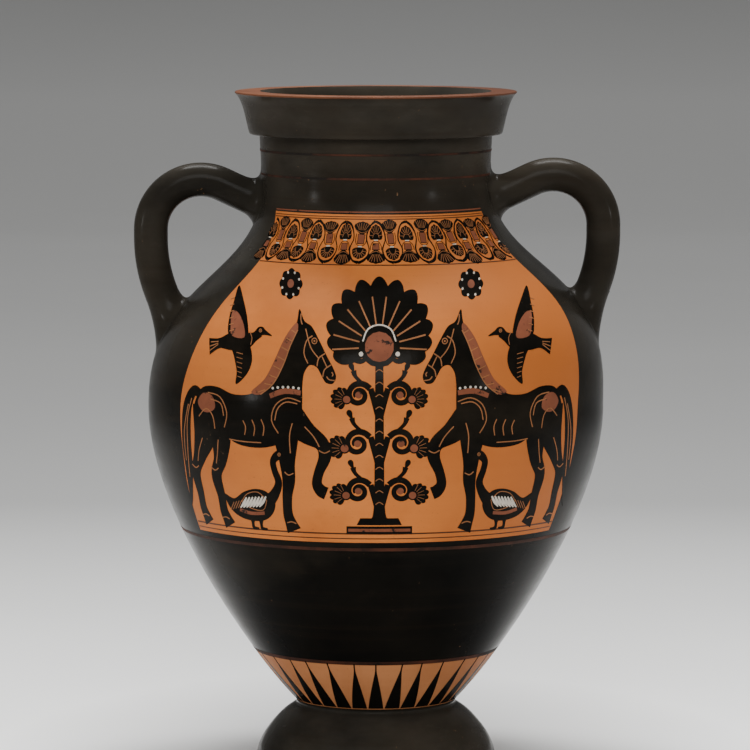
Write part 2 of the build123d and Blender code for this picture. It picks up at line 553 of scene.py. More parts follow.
class Palette:
    """The finishes of the jar, each built once."""

    def __init__(self) -> None:
        """Build every material."""
        dark, unworn_and_unlit = (0.012, 0.009, 0.007), ((0.0, 0.0), (1.0, 0.0))
        self.black = BlackSlip().material()
        self.paint_black = BlackSlip("painted_black", deep=(0.0036, 0.0032, 0.0026), streaks=0.25,
                                     wear_and_light=unworn_and_unlit).material()
        self.ray_clay = FiredClay("base_clay", (0.58, 0.235, 0.092), (0.47, 0.175, 0.063)).material()
        self.rim_clay = FiredClay("rim_clay", (0.155, 0.057, 0.026), (0.085, 0.029, 0.014)).material()
        self.inside = FiredClay("inner_clay", (0.36, 0.16, 0.075), (0.24, 0.10, 0.05),
                                gloss=(0.7, 0.85)).material()
        self.dull_red = AddedPaint("dull_red", (0.085, 0.027, 0.014), dark, 0.38, patches=26.0,
                                   fade=0.26).material()
        red = AddedPaint("purple_red", (0.235, 0.074, 0.036), dark, 0.58)
        white = AddedPaint("added_white", (0.70, 0.63, 0.53), (0.30, 0.20, 0.13), 0.58)
        brown = AddedPaint("thinned_slip", (0.085, 0.030, 0.012), (0.20, 0.07, 0.025), 0.66, 0.45)
        incised = AddedPaint("incised_clay", (0.34, 0.135, 0.052), (0.20, 0.075, 0.030), 0.66)
        self.paints = {Pigment.CLAY: FiredClay().material(), Pigment.BROWN: brown.material(),
                       Pigment.BLACK: self.paint_black, Pigment.RED: red.material(),
                       Pigment.SCRATCH: incised.material(), Pigment.WHITE: white.material()}


def keep_mesh(work: BMesh, name: str, materials: Sequence[Material], sharp_deg: float = 40.0
              ) -> Object:
    """Turn a bmesh into a shaded object at the origin.

    Args:
        work: the mesh, which is freed.
        name: name of the piece.
        materials: its material slots.
        sharp_deg: edges that turn by more than this stay sharp.

    Returns:
        The new object.
    """
    mesh = bpy.data.meshes.new(name)
    work.to_mesh(mesh)
    work.free()
    for material in materials:
        mesh.materials.append(material)
    mesh.shade_smooth()
    mesh.set_sharp_from_angle(angle=math.radians(sharp_deg))
    piece = bpy.data.objects.new(name, mesh)
    bpy.context.scene.collection.objects.link(piece)
    return piece


def register(piece: Object, nodes: Iterable[str] = ()) -> None:
    """Let a piece ride on the jar and stand for its nodes.

    Args:
        piece: the piece.
        nodes: the nodes it stands for.
    """
    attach(piece, BODY)
    nodes = tuple(nodes)
    if nodes:
        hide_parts(*nodes)
    LOG.info("%s: %d faces, stands for %s", piece.name, len(piece.data.polygons),
             ", ".join(nodes) or "nothing")


def chain(work: BMesh, spots: Iterable[Sequence[float]], closed: bool = False
          ) -> tuple[list[BMVert], list[BMEdge]]:
    """Add vertices that are joined in a row.

    Args:
        work: the mesh.
        spots: their places.
        closed: whether the last one is joined to the first.

    Returns:
        The vertices and the edges between them.
    """
    verts = [work.verts.new(spot) for spot in spots]
    pairs = list(zip(verts, verts[1:]))
    if closed:
        pairs.append((verts[-1], verts[0]))
    return verts, [work.edges.new(pair) for pair in pairs]


def new_verts(made: Iterable[object]) -> list[BMVert]:
    """Vertices among what a mesh operator made."""
    return [item for item in made if isinstance(item, BMVert)]


@dataclass
class SpunSection:
    """A wheel-thrown section: an outline turned about the axis.

    Attributes:
        name: name of the piece, or of the node it stands for.
        outline: radius and height of each point.
        closed: whether the outline closes on itself, or ends on the axis.
        leans: whether it follows the leaning shoulder.
        bare: tells whether a face of the upright section is bare clay.
        steps: steps round the axis.
        weld: distance within which points on the axis or the seam become one.
    """
    name: str
    outline: Outline
    closed: bool = True
    leans: bool = False
    bare: Callable[[BMFace], bool] | None = None
    steps: int = 288
    weld: float = 1e-6

    def build(self, finish: Material, bare_finish: Material, slot: str = "black_slip",
              nodes: tuple[str, ...] | None = None) -> None:
        """Spin the outline and dress it.

        Args:
            finish: material of the painted faces.
            bare_finish: material of the bare faces.
            slot: not used.
            nodes: the nodes it stands for, by default the one of its own name.
        """
        work = bmesh.new()
        verts, edges = chain(work, [(radius, 0.0, height) for radius, height in self.outline], self.closed)
        bmesh.ops.spin(work, geom=verts + edges, cent=(0, 0, 0), axis=(0, 0, 1), dvec=(0, 0, 0),
                       angle=math.tau, steps=self.steps, use_merge=True)
        bmesh.ops.remove_doubles(work, verts=work.verts, dist=self.weld)
        bmesh.ops.recalc_face_normals(work, faces=work.faces)
        if self.bare:
            for face in work.faces:
                face.material_index = int(self.bare(face))
        if self.leans:
            for vert in work.verts:
                vert.co = WALL.leaned(vert.co)
        name = f"finished_{self.name}" if nodes is None else self.name
        piece = keep_mesh(work, name, (finish, bare_finish))
        register(piece, (self.name,) if nodes is None else nodes)


def faces_axis(face: BMFace) -> bool:
    """Whether a face looks towards the jar's axis."""
    middle = face.calc_center_median()
    return middle.x * face.normal.x + middle.y * face.normal.y < 0.0


@dataclass
class Vessel:
    """The thrown sections: foot, two halves of the body, neck and lip, with their coils and fillet.

    Attributes:
        ground_margin: height up to which a face counts as standing on the ground.
        bare_edge: height of the strip under the rim that is left in bare clay.
        lip_round: rounding of the lip's lower edge.
        throat_foot: height over the lip's seam where the throat turns upright.
        rim_places: distances of the points across the flat rim from its edge.
        fillet_bow: hollow of the fillet, in shares of its size.
        fillet_back: its two corners against foot and body, in the same shares.
        coarse, fine: steps along the curves inside and outside.
    """
    palette: Palette
    foot_radius: float = 0.0718
    foot_leads: Leads = ((0.0, 0.012), (0.008, 0.0))
    rest_radius: float = 0.068
    rest_width: float = 0.011
    rest_leads: Leads = ((0.0022, 0.0003), (0.0, -0.003))
    ground_margin: float = 0.0002
    widest_height: float = 0.005
    hollow_height: float = 0.020
    hollow_leads: Leads = ((0.010, -0.002), (-0.004, 0.004))
    boss_radius: float = 0.030
    boss_height: float = 0.006
    floor_height: float = 0.042
    floor_radius: float = 0.025
    floor_lead: float = 0.025
    neck_lead: float = 0.007
    flare_pull: float = 0.3
    lip_base_radius: float = 0.0758
    lip_round: float = 0.0012
    under_leads: Leads = ((0.0007, 0.0), (-0.0002, -0.0006))
    flare_leads: Leads = ((0.0020, 0.0073), (-0.0050, -0.0045))
    edge_leads: Leads = ((0.0, 0.00045), (0.0007, 0.0))
    throat_leads: Leads = ((-0.0047, -0.005), (0.0, 0.0105))
    throat_foot: float = 0.002
    rim_radius: float = 0.0842
    rim_width: float = 0.015
    rim_edge: float = 0.0009
    rim_places: Point = (0.005, 0.010)
    bare_edge: float = 0.0015
    lap_height: float = 0.005
    coil_radius: float = 0.0035
    coil_clearance: float = 0.00015
    coil_sides: int = 12
    coil_steps: int = 192
    fillet_size: float = 0.0035
    fillet_bow: Bow = Bow((0.86, 0.72), (-0.44, -0.47), (-0.77, 0.40), (1.22, -0.42))
    fillet_back: Leads = ((0.9, -0.8), (-0.4, 0.0))
    coarse: int = 50
    fine: int = 90

    def build(self) -> None:
        """Build every thrown section."""
        self.build_foot()
        self.build_lower_body()
        self.build_upper_body()
        self.build_neck()
        self.build_lip()
        self.build_coils()

    def build_foot(self) -> None:
        """Spreading ring foot, hollow underneath."""
        stem, top = WALL.stem_radius, WALL.foot_height
        widest = (self.foot_radius, self.widest_height)
        hollow = Bow((self.boss_radius, self.hollow_height), *self.hollow_leads,
                     (self.rest_radius - self.rest_width, 0.0))
        turn = Bow((self.rest_radius, 0.0), *self.rest_leads, widest)
        side = Bow(widest, *self.foot_leads, (stem, top))
        outline = [(self.boss_radius, top)] + hollow.run(20) + turn.run(10) + side.run(48)[1:]
        SpunSection("foot", outline, bare=self.under_foot).build(self.palette.black, self.palette.inside)

    def under_foot(self, face: BMFace) -> bool:
        """Whether a face is the bare underside of the foot.

        Args:
            face: the face.

        Returns:
            True where it is.
        """
        middle = face.calc_center_median()
        within = math.hypot(middle.x, middle.y) < self.rest_radius
        return middle.z < self.ground_margin or within and faces_axis(face)

    def build_lower_body(self) -> None:
        """Lower half of the body with its rounded floor and the boss in the foot."""
        inner_radius = WALL.belly_radius - WALL.thickness
        boss_bottom = WALL.foot_height - self.boss_height
        outline = [(0.0, boss_bottom), (self.boss_radius, boss_bottom), (self.boss_radius, WALL.foot_height)]
        outline += WALL.lower_bow().run(self.fine)
        outline += Bow((inner_radius, WALL.belly_seam), (0.0, -WALL.belly_lead),
                       (self.floor_lead, 0.0), (self.floor_radius, self.floor_height)).run(self.coarse)
        outline += [(self.floor_radius / 2, self.floor_height), (0.0, self.floor_height)]
        SpunSection("lower_body", outline, closed=False, bare=self.inside_body).build(
            self.palette.black, self.palette.inside)

    def inside_body(self, face: BMFace) -> bool:
        """Whether a face is bare clay inside the body or under its boss.

        Args:
            face: the face.

        Returns:
            True where it is.
        """
        middle = face.calc_center_median()
        floor = math.hypot(middle.x, middle.y) < self.boss_radius
        return faces_axis(face) or floor and middle.z < WALL.belly_seam

    def shoulder(self, inset: float, steps: int) -> Outline:
        """Outline of the shoulder from seam to seam, moved inwards by inset."""
        return [(WALL.belly_radius - inset, WALL.belly_seam), *WALL.shoulder_bow(inset).run(steps),
                (WALL.neck_radius - inset, WALL.neck_seam)]

    def build_upper_body(self) -> None:
        """Leaning shoulder between the belly seam and the neck seam."""
        outline = self.shoulder(0.0, self.fine) + self.shoulder(WALL.thickness, self.coarse)[::-1]
        SpunSection("upper_body", outline, leans=True, bare=self.inside_body).build(
            self.palette.black, self.palette.inside)

    def build_neck(self) -> None:
        """Straight neck."""
        bore = WALL.neck_radius - WALL.thickness
        outer = Bow((WALL.neck_radius, WALL.neck_seam), (0.0, self.neck_lead),
                    (-self.flare_pull * WALL.neck_flare, -self.neck_lead),
                    (WALL.neck_radius + WALL.neck_flare, WALL.lip_seam))
        outline = outer.run(16) + [(bore, WALL.lip_seam), (bore, WALL.neck_seam)]
        SpunSection("neck", outline, bare=faces_axis).build(self.palette.black, self.palette.inside)

    def build_lip(self) -> None:
        """Flaring lip with its flat rim left in bare clay."""
        top, base = WALL.jar_height, WALL.lip_seam
        bore = WALL.neck_radius - WALL.thickness
        mouth = self.rim_radius - self.rim_width
        corner = (self.lip_base_radius, base + self.lip_round)
        edge_foot = (self.rim_radius, top - self.rim_edge)
        under = Bow((self.lip_base_radius - self.lip_round, base), *self.under_leads, corner)
        flare = Bow(corner, *self.flare_leads, edge_foot)
        edge = Bow(edge_foot, *self.edge_leads, (self.rim_radius - self.rim_edge, top))
        throat = Bow((mouth, top), *self.throat_leads, (bore, base + self.throat_foot))
        outline = [(bore, base)] + under.run(6) + flare.run(36)[1:] + edge.run(8)[1:]
        outline += [(self.rim_radius - place, top) for place in self.rim_places] + throat.run(24)
        SpunSection("lip", outline, bare=self.on_rim).build(self.palette.black, self.palette.rim_clay)

    def on_rim(self, face: BMFace) -> bool:
        """Whether a face is the reserved rim."""
        middle = face.calc_center_median()
        return middle.z > WALL.jar_height - self.bare_edge and not faces_axis(face)

    def build_coils(self) -> None:
        """Luting coils in the seams and the clay fillet round the foot."""
        bore = WALL.neck_radius - WALL.thickness
        inner = WALL.belly_radius - WALL.thickness - self.coil_clearance
        foot_seat = WALL.foot_height - self.boss_height
        seats = (("belly_coil", inner, WALL.belly_seam + self.lap_height, 180.0),
                 ("neck_coil", bore, WALL.neck_seam + self.lap_height, 180.0),
                 ("foot_coil", self.boss_radius, foot_seat, 90.0))
        for name, radius, height, size in seats:
            turns = [math.radians(270.0 - size * step / self.coil_sides)
                     for step in range(self.coil_sides + 1)]
            outline = [(radius + self.coil_radius * math.cos(turn),
                        height + self.coil_radius * math.sin(turn)) for turn in turns]
            outline.append((radius, height))
            coil = SpunSection(name, outline, steps=self.coil_steps)
            coil.build(self.palette.inside, self.palette.inside, "bare_clay")
        outline = [(WALL.stem_radius + self.fillet_size * out, WALL.foot_height + self.fillet_size * rise)
                   for out, rise in (*self.fillet_bow.run(12), *self.fillet_back)]
        SpunSection("foot_fillet", outline).build(self.palette.black, self.palette.black)


@dataclass
class Handle:
    """A round handle pulled from neck to shoulder, its roots smoothed onto the wall with wads of clay.

    Attributes:
        side: which side it stands on.
        inset: how far its centre line stays inside the widest reach.
        rise: how far its crown stands above the top of the shoulder.
        widest: reach that the inset is taken from.
        upper_spread, lower_spread: width of each root's flare, on the outside and in the crook.
        upper_reach, lower_reach: length of each flare along the rod, likewise.
        root_pull: how tightly a flare bends, on the outside and in the crook.
        sink: how far the edge of a flare runs on, outwards and under the wall's surface.
        search: nearest and furthest place along the rod where the wall is looked for.
    """
    palette: Palette
    side: Side
    inset: float
    rise: float
    widest: float = 0.1369
    radius: float = 0.01018
    crown_bend: float = 0.030
    neck_slope: float = 25.0
    grip_straight: float = 0.005
    lower_bend: float = 0.090
    lower_turn: float = 24.0
    around: int = 48
    upper_spread: Point = (0.0045, 0.0095)
    upper_reach: Point = (0.0085, 0.0135)
    lower_spread: Point = (0.0085, 0.0060)
    lower_reach: Point = (0.0240, 0.0110)
    root_pull: Point = (0.45, 0.72)
    sink: Point = (0.0012, 0.0006)
    search: Point = (-0.03, 0.08)
    halvings: int = 40
    lead_steps: int = 3
    lead_step: float = 0.004
    crown_steps: int = 36
    lower_steps: int = 12
    root_steps: int = 14
    sharp_deg: float = 60.0

    def spot(self, out: float, height: float) -> Vector:
        """Point in the upright plane of the handle."""
        return Vector((self.side.value * out, 0.0, height))

    def centre_line(self) -> list[tuple[Vector, Vector]]:
        """Centre line from the neck root to the shoulder root.

        Returns:
            Its points with their directions.
        """
        reach = self.widest - self.inset
        crown = WALL.shoulder_top + self.rise
        slope, turn = math.radians(self.neck_slope), math.radians(self.lower_turn)
        hub = (reach - self.crown_bend, crown - self.crown_bend)
        line = []
        for step in range(-self.lead_steps, 1):
            lead = self.lead_step * step
            line.append((self.spot(hub[0] - self.crown_bend * math.sin(slope) + lead * math.cos(slope),
                                   hub[1] + self.crown_bend * math.cos(slope) + lead * math.sin(slope)),
                         self.spot(math.cos(slope), math.sin(slope))))
        for step in range(1, self.crown_steps + 1):
            angle = blend(-slope, math.pi / 2, step / self.crown_steps)
            line.append((self.spot(hub[0] + self.crown_bend * math.sin(angle),
                                   hub[1] + self.crown_bend * math.cos(angle)),
                         self.spot(math.cos(angle), -math.sin(angle))))
        low = hub[1] - self.grip_straight
        for step in range(self.lower_steps + 1):
            angle = turn * step / self.lower_steps
            line.append((self.spot(reach - self.lower_bend * (1 - math.cos(angle)),
                                   low - self.lower_bend * math.sin(angle)),
                         self.spot(-math.sin(angle), -math.cos(angle))))
        return line

    def ring(self, centre: Vector, along: Vector) -> list[Vector]:
        """Circle of points round the centre line, starting on the side away from the crook.

        Args:
            centre: its middle.
            along: direction of the centre line.

        Returns:
            The points.
        """
        outward = Vector((-along.z, 0.0, along.x)) * self.side.value
        points = []
        for step in range(self.around):
            turn = math.tau * step / self.around
            away = outward * math.cos(turn) + Vector((0, 1, 0)) * math.sin(turn)
            points.append(centre + self.radius * away)
        return points

    def wall_hit(self, start: Vector, along: Vector) -> float:
        """Distance from a point to the wall along a direction.

        Args:
            start: the point.
            along: the direction.

        Returns:
            The distance.
        """
        low, high = self.search
        for _ in range(self.halvings):
            middle = (low + high) / 2
            if WALL.outside(start + along * middle) > 0.0:
                low = middle
            else:
                high = middle
        return (low + high) / 2

    def root_rings(self, centre: Vector, along: Vector, spread: Point, reach: Point) -> list[list[Vector]]:
        """Rings that carry the rod from a round section onto the wall in a smooth flare.

        Args:
            centre: end of the centre line.
            along: direction towards the wall.
            spread: width of the flare on the outside and in the crook.
            reach: its length along the rod, on the outside and in the crook.

        Returns:
            The rings, the last one sunk under the wall's surface.
        """
        base = self.ring(centre, along)
        lines = []
        for point in base:
            radial = (point - centre).normalized()
            crook = 0.5 - 0.5 * radial.dot((base[0] - centre).normalized())
            contact = point + along * self.wall_hit(point, along)
            start = contact - along * blend(*reach, crook)
            wide = point + radial * blend(*spread, crook)
            end = wide + along * self.wall_hit(wide, along)
            pull = blend(*self.root_pull, crook)
            sunk = end + (end - contact).normalized() * self.sink[0] + along * self.sink[1]
            lines.append((start, start.lerp(contact, pull), end.lerp(contact, pull), end, sunk))
        rings = []
        for step in range(self.root_steps + 1):
            share = step / self.root_steps
            rest = 1.0 - share
            rings.append([a * rest ** 3 + b * 3 * rest ** 2 * share + c * 3 * rest * share ** 2
                          + d * share ** 3 for a, b, c, d, _ in lines])
        rings.append([line[4] for line in lines])
        return rings

    def build(self) -> None:
        """Loft the rings from root to root and dress the handle."""
        line = self.centre_line()
        (first, from_neck), (last, to_shoulder) = line[0], line[-1]
        upper = self.root_rings(first, -from_neck, self.upper_spread, self.upper_reach)
        lower = self.root_rings(last, to_shoulder, self.lower_spread, self.lower_reach)
        half = self.around // 2
        upper = [[ring[(half - index) % self.around] for index in range(self.around)] for ring in upper]
        rings = upper[::-1] + [self.ring(centre, along) for centre, along in line[1:-1]] + lower
        work = bmesh.new()
        circle = bmesh.ops.create_circle(work, cap_ends=False, radius=self.radius,
                                         segments=self.around)["verts"]
        for vert, spot in zip(circle, rings[0]):
            vert.co = spot
        edges = list({edge for vert in circle for edge in vert.link_edges})
        bmesh.ops.contextual_create(work, geom=edges)
        for ring in rings[1:]:
            made = bmesh.ops.extrude_edge_only(work, edges=edges)["geom"]
            edges = [item for item in made if isinstance(item, BMEdge) and len(item.link_faces) == 1
                     and all(vert in made for vert in item.verts)]
            for vert, spot in zip(new_verts(made), ring):
                vert.co = spot
        bmesh.ops.contextual_create(work, geom=edges)
        bmesh.ops.recalc_face_normals(work, faces=work.faces)
        name = f"handle_{self.side.name.lower()}"
        piece = keep_mesh(work, f"finished_{name}", (self.palette.black,), self.sharp_deg)
        register(piece, (name, f"{name}_upper_wad", f"{name}_lower_wad"))


@dataclass(frozen=True)
class Coat:
    """How a paint lies on the wall: its underside and its surface, in millimetres off the wall."""
    bottom: float
    top: float


COATS: dict[Pigment, Coat] = {
    Pigment.CLAY: Coat(-0.25, 0.06), Pigment.BROWN: Coat(-0.05, 0.12), Pigment.BLACK: Coat(-0.05, 0.16),
    Pigment.RED: Coat(0.05, 0.24), Pigment.SCRATCH: Coat(0.05, 0.29), Pigment.WHITE: Coat(0.05, 0.34)}

CELL: Point = (4.0, 4.0)
FINE_CELL: Point = (3.0, 3.0)


@dataclass(frozen=True)
class Wrap:
    """Way of laying a flat drawing round the wall.

    Attributes:
        facing: angle of the drawing's middle.
        turn: angle for each unit across, or none where a unit is a millimetre along the wall.
    """
    facing: float
    turn: float | None = None

    def angle(self, across: float, height: float) -> float:
        """Angle of a point of the drawing.

        Args:
            across: its place across.
            height: its height in metres.

        Returns:
            The angle in radians.
        """
        if self.turn is None:
            return self.facing + across * MM / WALL.plain_radius(height)
        return self.facing + across * self.turn


def curve_through(points: Sequence[Sequence[float]], count: int, closed: bool = False) -> list[list[float]]:
    """Smooth curve through points of any dimension.

    Args:
        points: the points to pass through.
        count: steps between neighbouring points.
        closed: whether the curve returns to its start.

    Returns:
        The points of the curve.
    """
    total = len(points)
    spans = total if closed else total - 1
    curve = []
    for span in range(spans):
        picks = [span - 1, span, span + 1, span + 2]
        picks = [pick % total if closed else min(max(pick, 0), total - 1) for pick in picks]
        before, start, end, after = (points[pick] for pick in picks)
        for step in range(count):
            share = step / count
            curve.append([0.5 * (2 * b + (c - a) * share + (2 * a - 5 * b + 4 * c - d) * share ** 2
                                 + (3 * b - a - 3 * c + d) * share ** 3)
                          for a, b, c, d in zip(before, start, end, after)])
    if not closed:
        curve.append(list(points[-1]))
    return curve


@dataclass
class Drawing:
    """Flat painting in one paint: filled outlines, ribbons between two edges, and dots.

    Attributes:
        outlines: closed outlines to fill.
        ribbons: left and right edges of strokes.
        dots: centres and radii of dots.
        stagger: slight height of a shape over the one before, so that overlapping shapes don't coincide.
        levels: number of such heights, after which they start again.
        dot_sides: corners of a dot.
        cut_margin: distance within which a point counts as on a cut.
        weld: length under which an edge is taken away.
        sharp_deg: edges that turn by more than this stay sharp.
    """
    outlines: list[Outline] = field(default_factory=list)
    ribbons: list[tuple[Outline, Outline]] = field(default_factory=list)
    dots: list[tuple[Point, float]] = field(default_factory=list)
    stagger: float = 0.004
    levels: int = 8
    dot_sides: int = 14
    cut_margin: float = 1e-5
    weld: float = 1e-4
    sharp_deg: float = 50.0

    def lay_shapes(self, work: BMesh) -> None:
        """Make the flat faces of every shape.

        Args:
            work: the mesh.
        """
        heights = (self.stagger * (number % self.levels) for number in itertools.count(1))
        for outline, level in zip(self.outlines, heights):
            edges = chain(work, [(*point, level) for point in outline], closed=True)[1]
            bmesh.ops.triangle_fill(work, use_beauty=True, edges=edges, normal=(0, 0, 1))
        for (left, right), level in zip(self.ribbons, heights):
            edges = chain(work, [(*point, level) for point in left])[1]
            made = bmesh.ops.extrude_edge_only(work, edges=edges)["geom"]
            for vert, point in zip(new_verts(made), right):
                vert.co = (*point, level)
        for (centre, radius), level in zip(self.dots, heights):
            bmesh.ops.create_circle(work, cap_ends=True, cap_tris=True, radius=radius,
                                    segments=self.dot_sides, matrix=Matrix.Translation((*centre, level)))

    def cut_cells(self, work: BMesh, cell: Point) -> None:
        """Cut the flat faces along a grid, so that they can bend round the wall.

        Args:
            work: the mesh.
            cell: size of the grid.
        """
        for axis, normal in enumerate((Vector((1, 0, 0)), Vector((0, 1, 0)))):
            places = [vert.co[axis] for vert in work.verts]
            cut = math.ceil(min(places) / cell[axis]) * cell[axis]
            while cut < max(places):
                geom = work.verts[:] + work.edges[:] + work.faces[:]
                bmesh.ops.bisect_plane(work, geom=geom, dist=self.cut_margin, plane_co=normal * cut,
                                       plane_no=normal)
                cut += cell[axis]

    def build(self, name: str, finish: Material, coat: Coat, wrap: Wrap, cell: Point = CELL) -> None:
        """Wrap the drawing, unless it is empty, round the wall as a thin closed coat.

        Args:
            name: name of the piece.
            finish: its material.
            coat: its place off the wall.
            wrap: the way round the wall.
            cell: size of the bending grid, in the drawing's units.
        """
        if not (self.outlines or self.ribbons or self.dots):
            return
        work = bmesh.new()
        self.lay_shapes(work)
        self.cut_cells(work, cell)
        bmesh.ops.dissolve_degenerate(work, dist=self.weld, edges=work.edges[:])
        made = bmesh.ops.extrude_face_region(work, geom=work.faces[:], use_keep_orig=True)["geom"]
        for vert in new_verts(made):
            vert.co.z += coat.top - coat.bottom
        bmesh.ops.recalc_face_normals(work, faces=work.faces[:])
        for vert in work.verts:
            across, height, level = vert.co
            height *= MM
            vert.co = WALL.point(wrap.angle(across, height), height, (coat.bottom + level) * MM)
        register(keep_mesh(work, name, (finish,), self.sharp_deg))


class Canvas:
    """A picture in all its paints."""

    def __init__(self) -> None:
        """Start with an empty drawing for each paint."""
        self.drawings: dict[Pigment, Drawing] = {pigment: Drawing() for pigment in Pigment}

    def build(self, name: str, palette: Palette, wrap: Wrap, cell: Point = CELL) -> None:
        """Lay every paint of the picture on the wall."""
        for pigment, drawing in self.drawings.items():
            drawing.build(f"{name}_{pigment.value}", palette.paints[pigment], COATS[pigment], wrap, cell)


@dataclass
class Pen:
    """Draws on a canvas in a moved, scaled, turned or mirrored place.

    Attributes:
        canvas: the picture.
        spot: place of the pen's origin.
        scale: size of its unit across and upwards.
        turn: turn of its drawing in degrees, to the left.
    """
    canvas: Canvas
    spot: Point = (0.0, 0.0)
    scale: Point = (1.0, 1.0)
    turn: float = 0.0
    THINNEST: ClassVar[float] = 0.05
    SHORTEST: ClassVar[float] = 1e-9
    SPIRAL_STEPS: ClassVar[int] = 24
    SPIRAL_SLOWING: ClassVar[float] = 0.8
    EYE_LINE: ClassVar[float] = 0.4
    PUPIL: ClassVar[float] = 0.36
    PETAL: ClassVar[tuple[Point, ...]] = (
        (0.0, 0.10), (0.35, 0.30), (0.62, 0.48), (0.82, 0.46), (0.95, 0.26), (1.0, 0.0))
    FAN_ROUNDING: ClassVar[float] = 0.28
    FAN_FULLNESS: ClassVar[float] = 2.3
    HEART: ClassVar[Point] = (0.30, 0.22)
    CUT_ENDS: ClassVar[Point] = (0.31, 0.72)
    CUT_WIDTH: ClassVar[float] = 0.022

    def mirrored(self, spot: Point, side: int) -> "Pen":
        """Pen at a spot of this one, which draws to the right for side 1 and to the left for side -1."""
        return Pen(self.canvas, self.place(spot), (side * self.scale[0], self.scale[1]))

    def place(self, point: Sequence[float]) -> Point:
        """Place a point on the canvas.

        Args:
            point: the point in the pen's frame.

        Returns:
            Its place on the canvas.
        """
        angle = math.radians(self.turn)
        across = point[0] * math.cos(angle) - point[1] * math.sin(angle)
        upward = point[0] * math.sin(angle) + point[1] * math.cos(angle)
        return (self.spot[0] + across * self.scale[0], self.spot[1] + upward * self.scale[1])

    def fill(self, pigment: Pigment, outline: Sequence[Sequence[float]]) -> None:
        """Fill a closed outline."""
        self.canvas.drawings[pigment].outlines.append([self.place(point) for point in outline])

    def shape(self, pigment: Pigment, points: Sequence[Point], count: int = 6) -> None:
        """Fill a smooth closed curve through points."""
        self.fill(pigment, curve_through(points, count, closed=True))

    def stroke(self, pigment: Pigment, path: Sequence[Sequence[float]], count: int = 6) -> None:
        """Draw a brush stroke.

        Args:
            pigment: the paint.
            path: points with the stroke's width there.
            count: steps between the points.
        """
        run = curve_through(path, count)
        left, right = [], []
        for index, (across, upward, width) in enumerate(run):
            before, after = run[max(index - 1, 0)], run[min(index + 1, len(run) - 1)]
            along = Vector((after[0] - before[0], after[1] - before[1]))
            if along.length < self.SHORTEST:
                continue
            side = along.orthogonal().normalized() * max(width, self.THINNEST) / 2
            left.append(self.place((across + side.x, upward + side.y)))
            right.append(self.place((across - side.x, upward - side.y)))
        self.canvas.drawings[pigment].ribbons.append((left, right))

    def line(self, pigment: Pigment, points: Sequence[Point], width: float, count: int = 6) -> None:
        """Draw a stroke of even width."""
        self.stroke(pigment, [(*point, width) for point in points], count)

    def lines(self, pigment: Pigment, paths: Iterable[Sequence[Point]], width: float, count: int) -> None:
        """Draw several strokes of even width."""
        for points in paths:
            self.line(pigment, points, width, count)

    def dot(self, pigment: Pigment, centre: Point, radius: float) -> None:
        """Draw a round dot."""
        self.canvas.drawings[pigment].dots.append((self.place(centre), radius * abs(self.scale[1])))

    def petal(self, pigment: Pigment, base: Point, turn: float, length: float, width: float) -> None:
        """Fill a drop-shaped petal.

        Args:
            pigment: the paint.
            base: its narrow end.
            turn: its direction in degrees, from upright to the right.
            length: its length.
            width: its greatest width, near the tip.
        """
        angle = math.radians(turn)
        along, side = (math.sin(angle), math.cos(angle)), (math.cos(angle), -math.sin(angle))
        half = [(length * reach, width * spread) for reach, spread in self.PETAL]
        points = [(base[0] + along[0] * reach + side[0] * spread,
                   base[1] + along[1] * reach + side[1] * spread)
                  for reach, spread in half + [(reach, -spread) for reach, spread in half[-2::-1]]]
        self.shape(pigment, points, 3)

    def spiral(self, pigment: Pigment, centre: Point, radii: Point, turns: Point, widths: Point) -> None:
        """Draw a spiral stroke.

        Args:
            pigment: the paint.
            centre: its eye.
            radii: radius at its start and end.
            turns: angle at its start and end in degrees, from the right to the left.
            widths: width at its start and end.
        """
        path = []
        for step in range(self.SPIRAL_STEPS + 1):
            share = step / self.SPIRAL_STEPS
            angle = math.radians(blend(*turns, share))
            radius = blend(*radii, share ** self.SPIRAL_SLOWING)
            path.append((centre[0] + radius * math.cos(angle), centre[1] + radius * math.sin(angle),
                         blend(*widths, share)))
        self.stroke(pigment, path, 2)

    def eye(self, centre: Point, radius: float) -> None:
        """Incise a round eye with its pupil.

        Args:
            centre: its middle.
            radius: its radius.
        """
        turns = [math.radians(45 * step) for step in range(9)]
        ring = [(centre[0] + radius * math.cos(turn), centre[1] + radius * math.sin(turn)) for turn in turns]
        self.line(Pigment.SCRATCH, ring, self.EYE_LINE, 2)
        self.dot(Pigment.SCRATCH, centre, self.PUPIL * radius)

    def palmette(self, base: Point, length: float, count: int, spread: float, turn: float = 0.0) -> None:
        """Draw a fan of petals round a red heart.

        Args:
            base: its foot.
            length: length of its middle petal.
            count: number of petals.
            spread: angle from the middle to the last petal, in degrees.
            turn: direction of the middle petal, in degrees from upright to the right.
        """
        width = self.FAN_FULLNESS * length * math.radians(spread) / count
        for index in range(count):
            place = 2 * index / (count - 1) - 1
            reach = length * (1 - self.FAN_ROUNDING * place * place)
            self.petal(Pigment.BLACK, base, turn + place * spread, reach, width)
        for pigment, share in zip((Pigment.BLACK, Pigment.RED), self.HEART):
            self.dot(pigment, base, share * length)
        for index in range(count - 1):
            angle = math.radians(turn + (2 * (index + 0.5) / (count - 1) - 1) * spread)
            ends = [(base[0] + math.sin(angle) * reach * length, base[1] + math.cos(angle) * reach * length)
                    for reach in self.CUT_ENDS]
            self.line(Pigment.SCRATCH, ends, self.CUT_WIDTH * length, 2)


